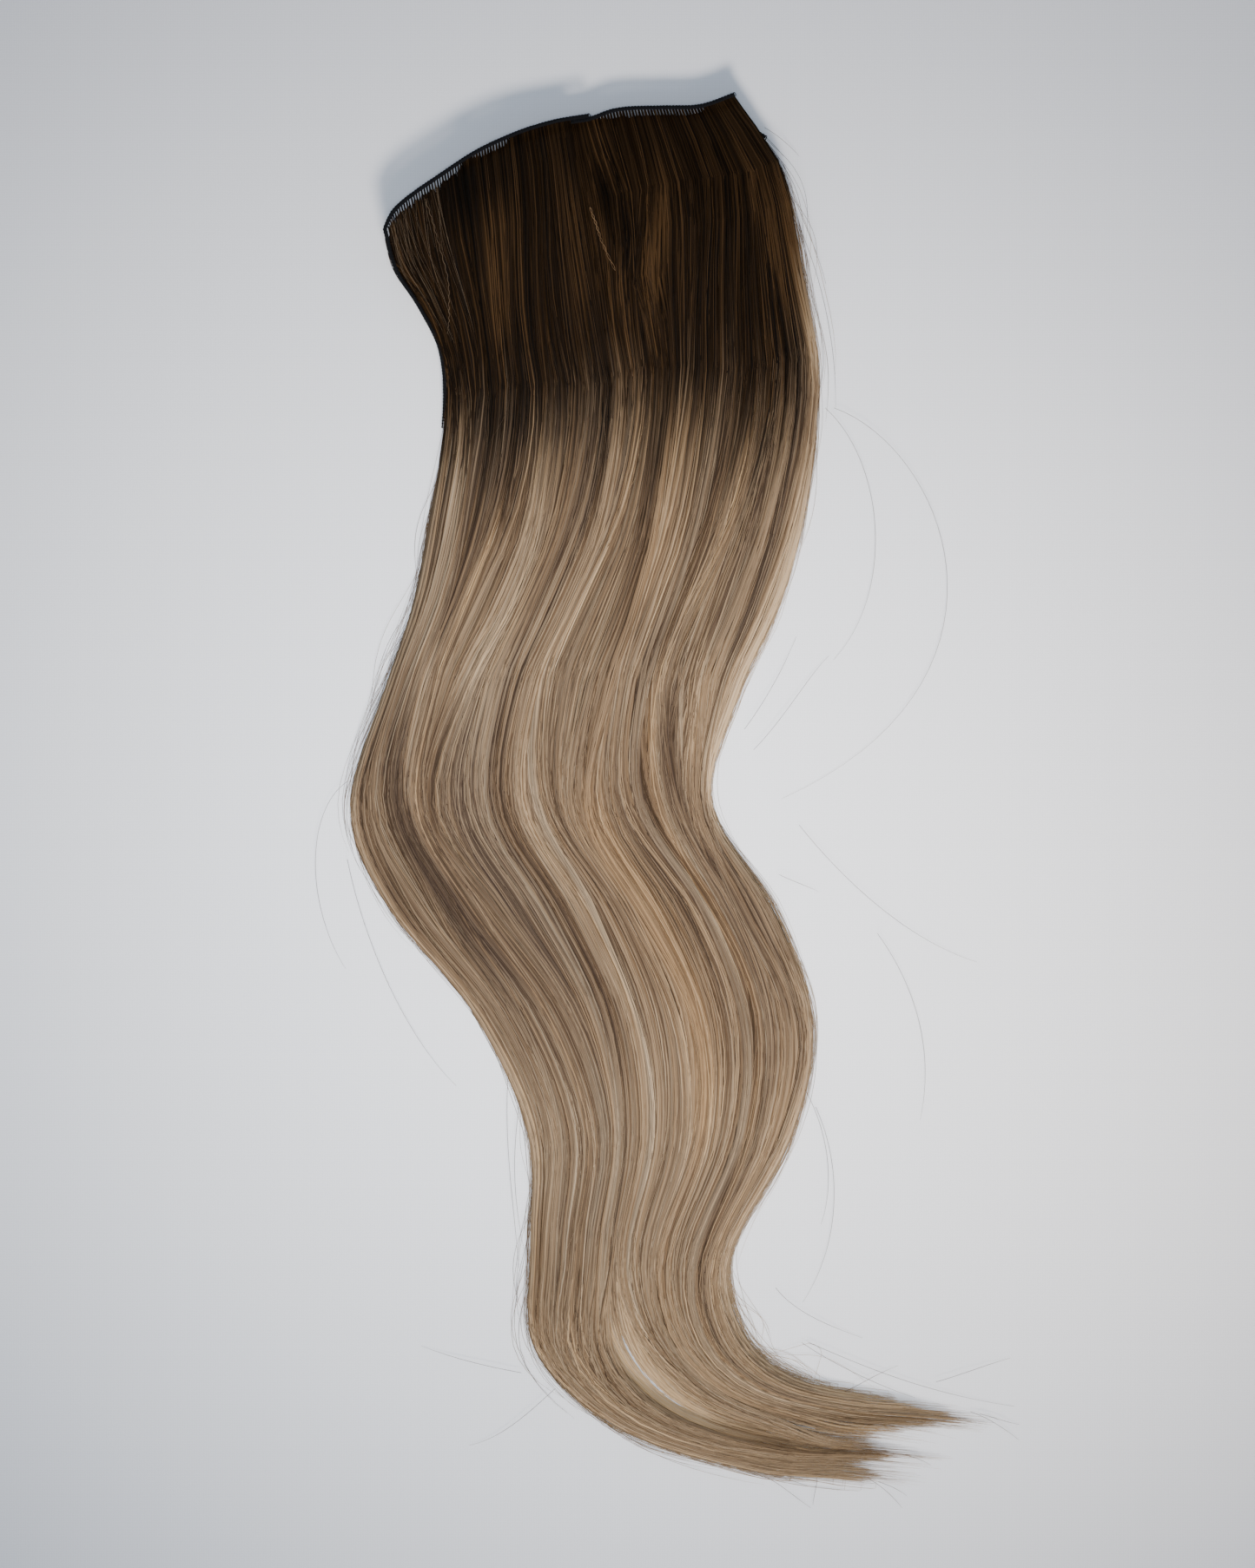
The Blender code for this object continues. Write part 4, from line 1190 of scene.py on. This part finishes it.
def rolled_cloth():
    """Woven polyester tape rolled into the band: near black, with slanting threads about 0.1 mm apart."""
    material, tree = blank("woven polyester tape")
    where = add(tree, "ShaderNodeTexCoord").outputs["Object"]
    weave = {"Vector": where, "Scale": 1 / (0.3 * MM), "Distortion": 0.4}
    threads = add(tree, "ShaderNodeTexWave", weave, bands_direction="DIAGONAL").outputs["Fac"]
    colour = ramp_of(tree, threads, [(0.0, "#030304"), (1.0, "#0c0d11")])
    bump = add(tree, "ShaderNodeBump", {"Height": threads, "Strength": 0.5, "Distance": 0.05 * MM})
    return finished(material, {"Base Color": colour, "Normal": bump.outputs["Normal"], **POLYESTER})


def pale_sheet():
    """A bleached cotton sheet, pulled flat: matt and nearly white.

    Its threads are drawn 0.9 mm apart, about three times as coarse as real ones, so that they show.
    """
    material, tree = blank("bleached cotton sheet")
    where = add(tree, "ShaderNodeTexCoord").outputs["Object"]
    weave = {"Vector": where, "Scale": WAVE / (0.9 * MM), "Distortion": 1.2, "Detail": 1.0}
    warp, weft = (
        add(tree, "ShaderNodeTexWave", weave, bands_direction=axis).outputs["Fac"] for axis in ("X", "Y")
    )
    height = add(tree, "ShaderNodeMath", {0: warp, 1: weft}, operation="ADD").outputs[0]
    half = add(tree, "ShaderNodeMath", {0: height, 1: 0.5}, operation="MULTIPLY").outputs[0]
    colour = ramp_of(tree, half, [(0.0, "#e4e4e6"), (1.0, "#eaeaec")])
    bump = add(tree, "ShaderNodeBump", {"Height": height, "Strength": 0.12, "Distance": 0.1 * MM})
    links = {"Base Color": colour, "Normal": bump.outputs["Normal"], "Roughness": 0.85, "IOR": 1.5}
    return finished(material, links)


def soft_spot(name, place, aim, cone, wide, radius, watts, colour):
    """A large soft lamp that fades out evenly towards the edge of its cone, which is wide times as wide."""
    lamp = bpy.data.lights.new(name, "SPOT")
    lamp.spot_size = math.radians(cone)
    lamp.spot_blend = 1.0
    lamp.shadow_soft_size = radius
    lamp.energy = watts
    lamp.color = linear(colour)[:3]
    thing = bpy.data.objects.new(name, lamp)
    thing.location = place
    thing.rotation_euler = (Vector(aim) - Vector(place)).to_track_quat("-Z", "Y").to_euler()
    thing.scale = (wide, 1.0, 1.0)
    bpy.context.scene.collection.objects.link(thing)


def studio(sheet_material):
    """The sheet, a soft key from below the photograph's frame, two fills above and the camera."""
    mesh = bpy.data.meshes.new("sheet")
    corners = [(SHEET_HALF * x, SHEET_HALF * y, 0) for x, y in ((-1, -1), (1, -1), (1, 1), (-1, 1))]
    mesh.from_pydata(corners, [], [(0, 1, 2, 3)])
    mesh.materials.append(sheet_material)
    sheet = bpy.data.objects.new("sheet", mesh)
    sheet.location.z = -0.15 * MM
    bpy.context.scene.collection.objects.link(sheet)

    world = bpy.data.worlds.new("studio")
    world.use_nodes = True
    back = world.node_tree.nodes["Background"]
    back.inputs["Color"].default_value = linear("#d4e6ff")
    back.inputs["Strength"].default_value = 0.48
    bpy.context.scene.world = world
    soft_spot("key", (0.169, -1.054, 1.148), (0.013, 0.050, 0.0), 22.3, 1.55, 0.25, 216.0, "#fff6ee")
    soft_spot("fill", (-0.045, -0.045, 1.5), (-0.045, -0.045, 0.0), 22.0, 1.0, 0.25, 174.0, "#eff7ff")
    soft_spot("side fill", (0.200, -0.130, 1.5), (0.200, -0.130, 0.0), 19.0, 1.0, 0.20, 52.0, "#fff0dc")

    middle = (0.5 * PHOTO_WIDE - SHEET_ORIGIN[0]) * PIXEL, (SHEET_ORIGIN[1] - 0.5 * PHOTO_TALL) * PIXEL
    lens = bpy.data.cameras.new("above")
    lens.sensor_width = 36.0
    lens.sensor_fit = "HORIZONTAL"
    lens.lens = lens.sensor_width * CAMERA_HEIGHT / (PHOTO_WIDE * PIXEL)
    lens.clip_end = 20.0
    camera = bpy.data.objects.new("above", lens)
    camera.location = (*middle, CAMERA_HEIGHT)
    bpy.context.scene.collection.objects.link(camera)
    bpy.context.scene.camera = camera


def at_band(across):
    """The front and the back hair start at the band."""
    return np.zeros(np.shape(across))


def at_under_band(across):
    """The under hair starts at its own slanting band."""
    share = (np.asarray(across) - UNDER_FROM) / (1 - UNDER_FROM)
    return UNDER_ROOT + UNDER_SLANT * np.clip(share, 0.0, 1.0) ** 2


def over_under(across, along):
    """The back hair's underside, which clears the under hair."""
    aside = eased((across - UNDER_FROM + 0.11) / 0.07)
    above = 1 - eased((along - UNDER_REACH - 0.03) / 0.05)
    return np.maximum(CURTAIN.lift(across, along), (UNDER_LOFT + CLEARANCE) * aside * above)


def on_sheet(across, along):
    """The under hair lies on the sheet."""
    return np.zeros(np.shape(across))


def under_top(across, along):
    """The top of the under hair, which thins out towards its ends."""
    return UNDER_LOFT * (1 - 0.5 * eased(along / UNDER_REACH)) + 0.0 * across


FOLDS = [Fold(*row) for row in (
    ("front", "front_hair", "hair_front", 0.0, PART_AT + FOLD_LAP, 1.0, CURTAIN.lift, CURTAIN.top, at_band),
    ("back", "back_hair", "hair_back", PART_AT - FOLD_LAP, 0.992, 1.0, over_under, CURTAIN.top, at_band),
    ("under", "under_hair", "hair_under", UNDER_FROM, 1.0, UNDER_REACH, on_sheet, under_top, at_under_band),
)]


def hair():
    brushed = brushed_hair()
    for fold in FOLDS:
        locks = Locks(fold)
        body(fold, locks, brushed)
        strands(fold, locks, DEEP_STRANDS[fold.name], brushed, upper=False)
        strands(fold, locks, UPPER_STRANDS[fold.name], brushed, upper=True)
    for single in (fringe, tip_hairs, corner_hairs, stray_hairs, loose_hairs, marked_hairs):
        single(brushed)


def level_band(line, lift):
    """The line of a band that keeps one height, and whose cut end stands out past the hair."""
    ahead = line[0] - line[1]
    line = np.vstack([line[0] + ahead / np.linalg.norm(ahead) * CUT_END, line])
    return np.column_stack([line, np.full(len(line), lift + 0.5 * BAND_TALL)])


def bands():
    yarns = rolled_cloth(), overlock_thread()
    lap = FRONT_LAP / CURTAIN.width(0.0)
    across = np.linspace(PART_AT + lap, 0.0, 60)
    places = np.linspace(0.0, 0.3, 200)
    run = run_along(CURTAIN.points(np.zeros(200), places))
    side = np.interp(np.linspace(0.0, SIDE_RUN, 41)[1:], run, places)
    top, down = np.zeros(len(across)), np.zeros(len(side))
    line = band_line(np.concatenate([across, down]), np.concatenate([top, side]), corner=len(across) - 1)
    z = CURTAIN.lift(np.minimum(across, PART_AT), 0.0)
    falls = np.maximum(CURTAIN.lift(down, side) + 0.5 * (EDGE_LOFT - BAND_TALL), UNDER_LIFT)
    z = np.concatenate([z, np.full(CORNER_STEPS - 1, z[-1]), falls]) + 0.5 * BAND_TALL
    sewn_band("front_band", np.column_stack([line, z]), "weft_band_front", *yarns, thins=THIN_END)

    across = np.linspace(BACK_EDGE, PART_AT - HIDDEN_RUN / CURTAIN.width(0.0), 44)
    line = band_line(across, np.zeros(len(across)))
    line[:, 1] -= BACK_DIP * (1 - eased((across - 0.49) / 0.06))
    sewn_band("back_band", level_band(line, BACK_LIFT), "weft_band_back", *yarns)

    across = np.linspace(UNDER_BAND_AT, UNDER_FROM, 20)
    line = band_line(across, at_under_band(across))
    sewn_band("under_band", level_band(line, UNDER_LIFT), "weft_band_under", *yarns, wider=UNDER_WIDER)


hair()
bands()
studio(pale_sheet())
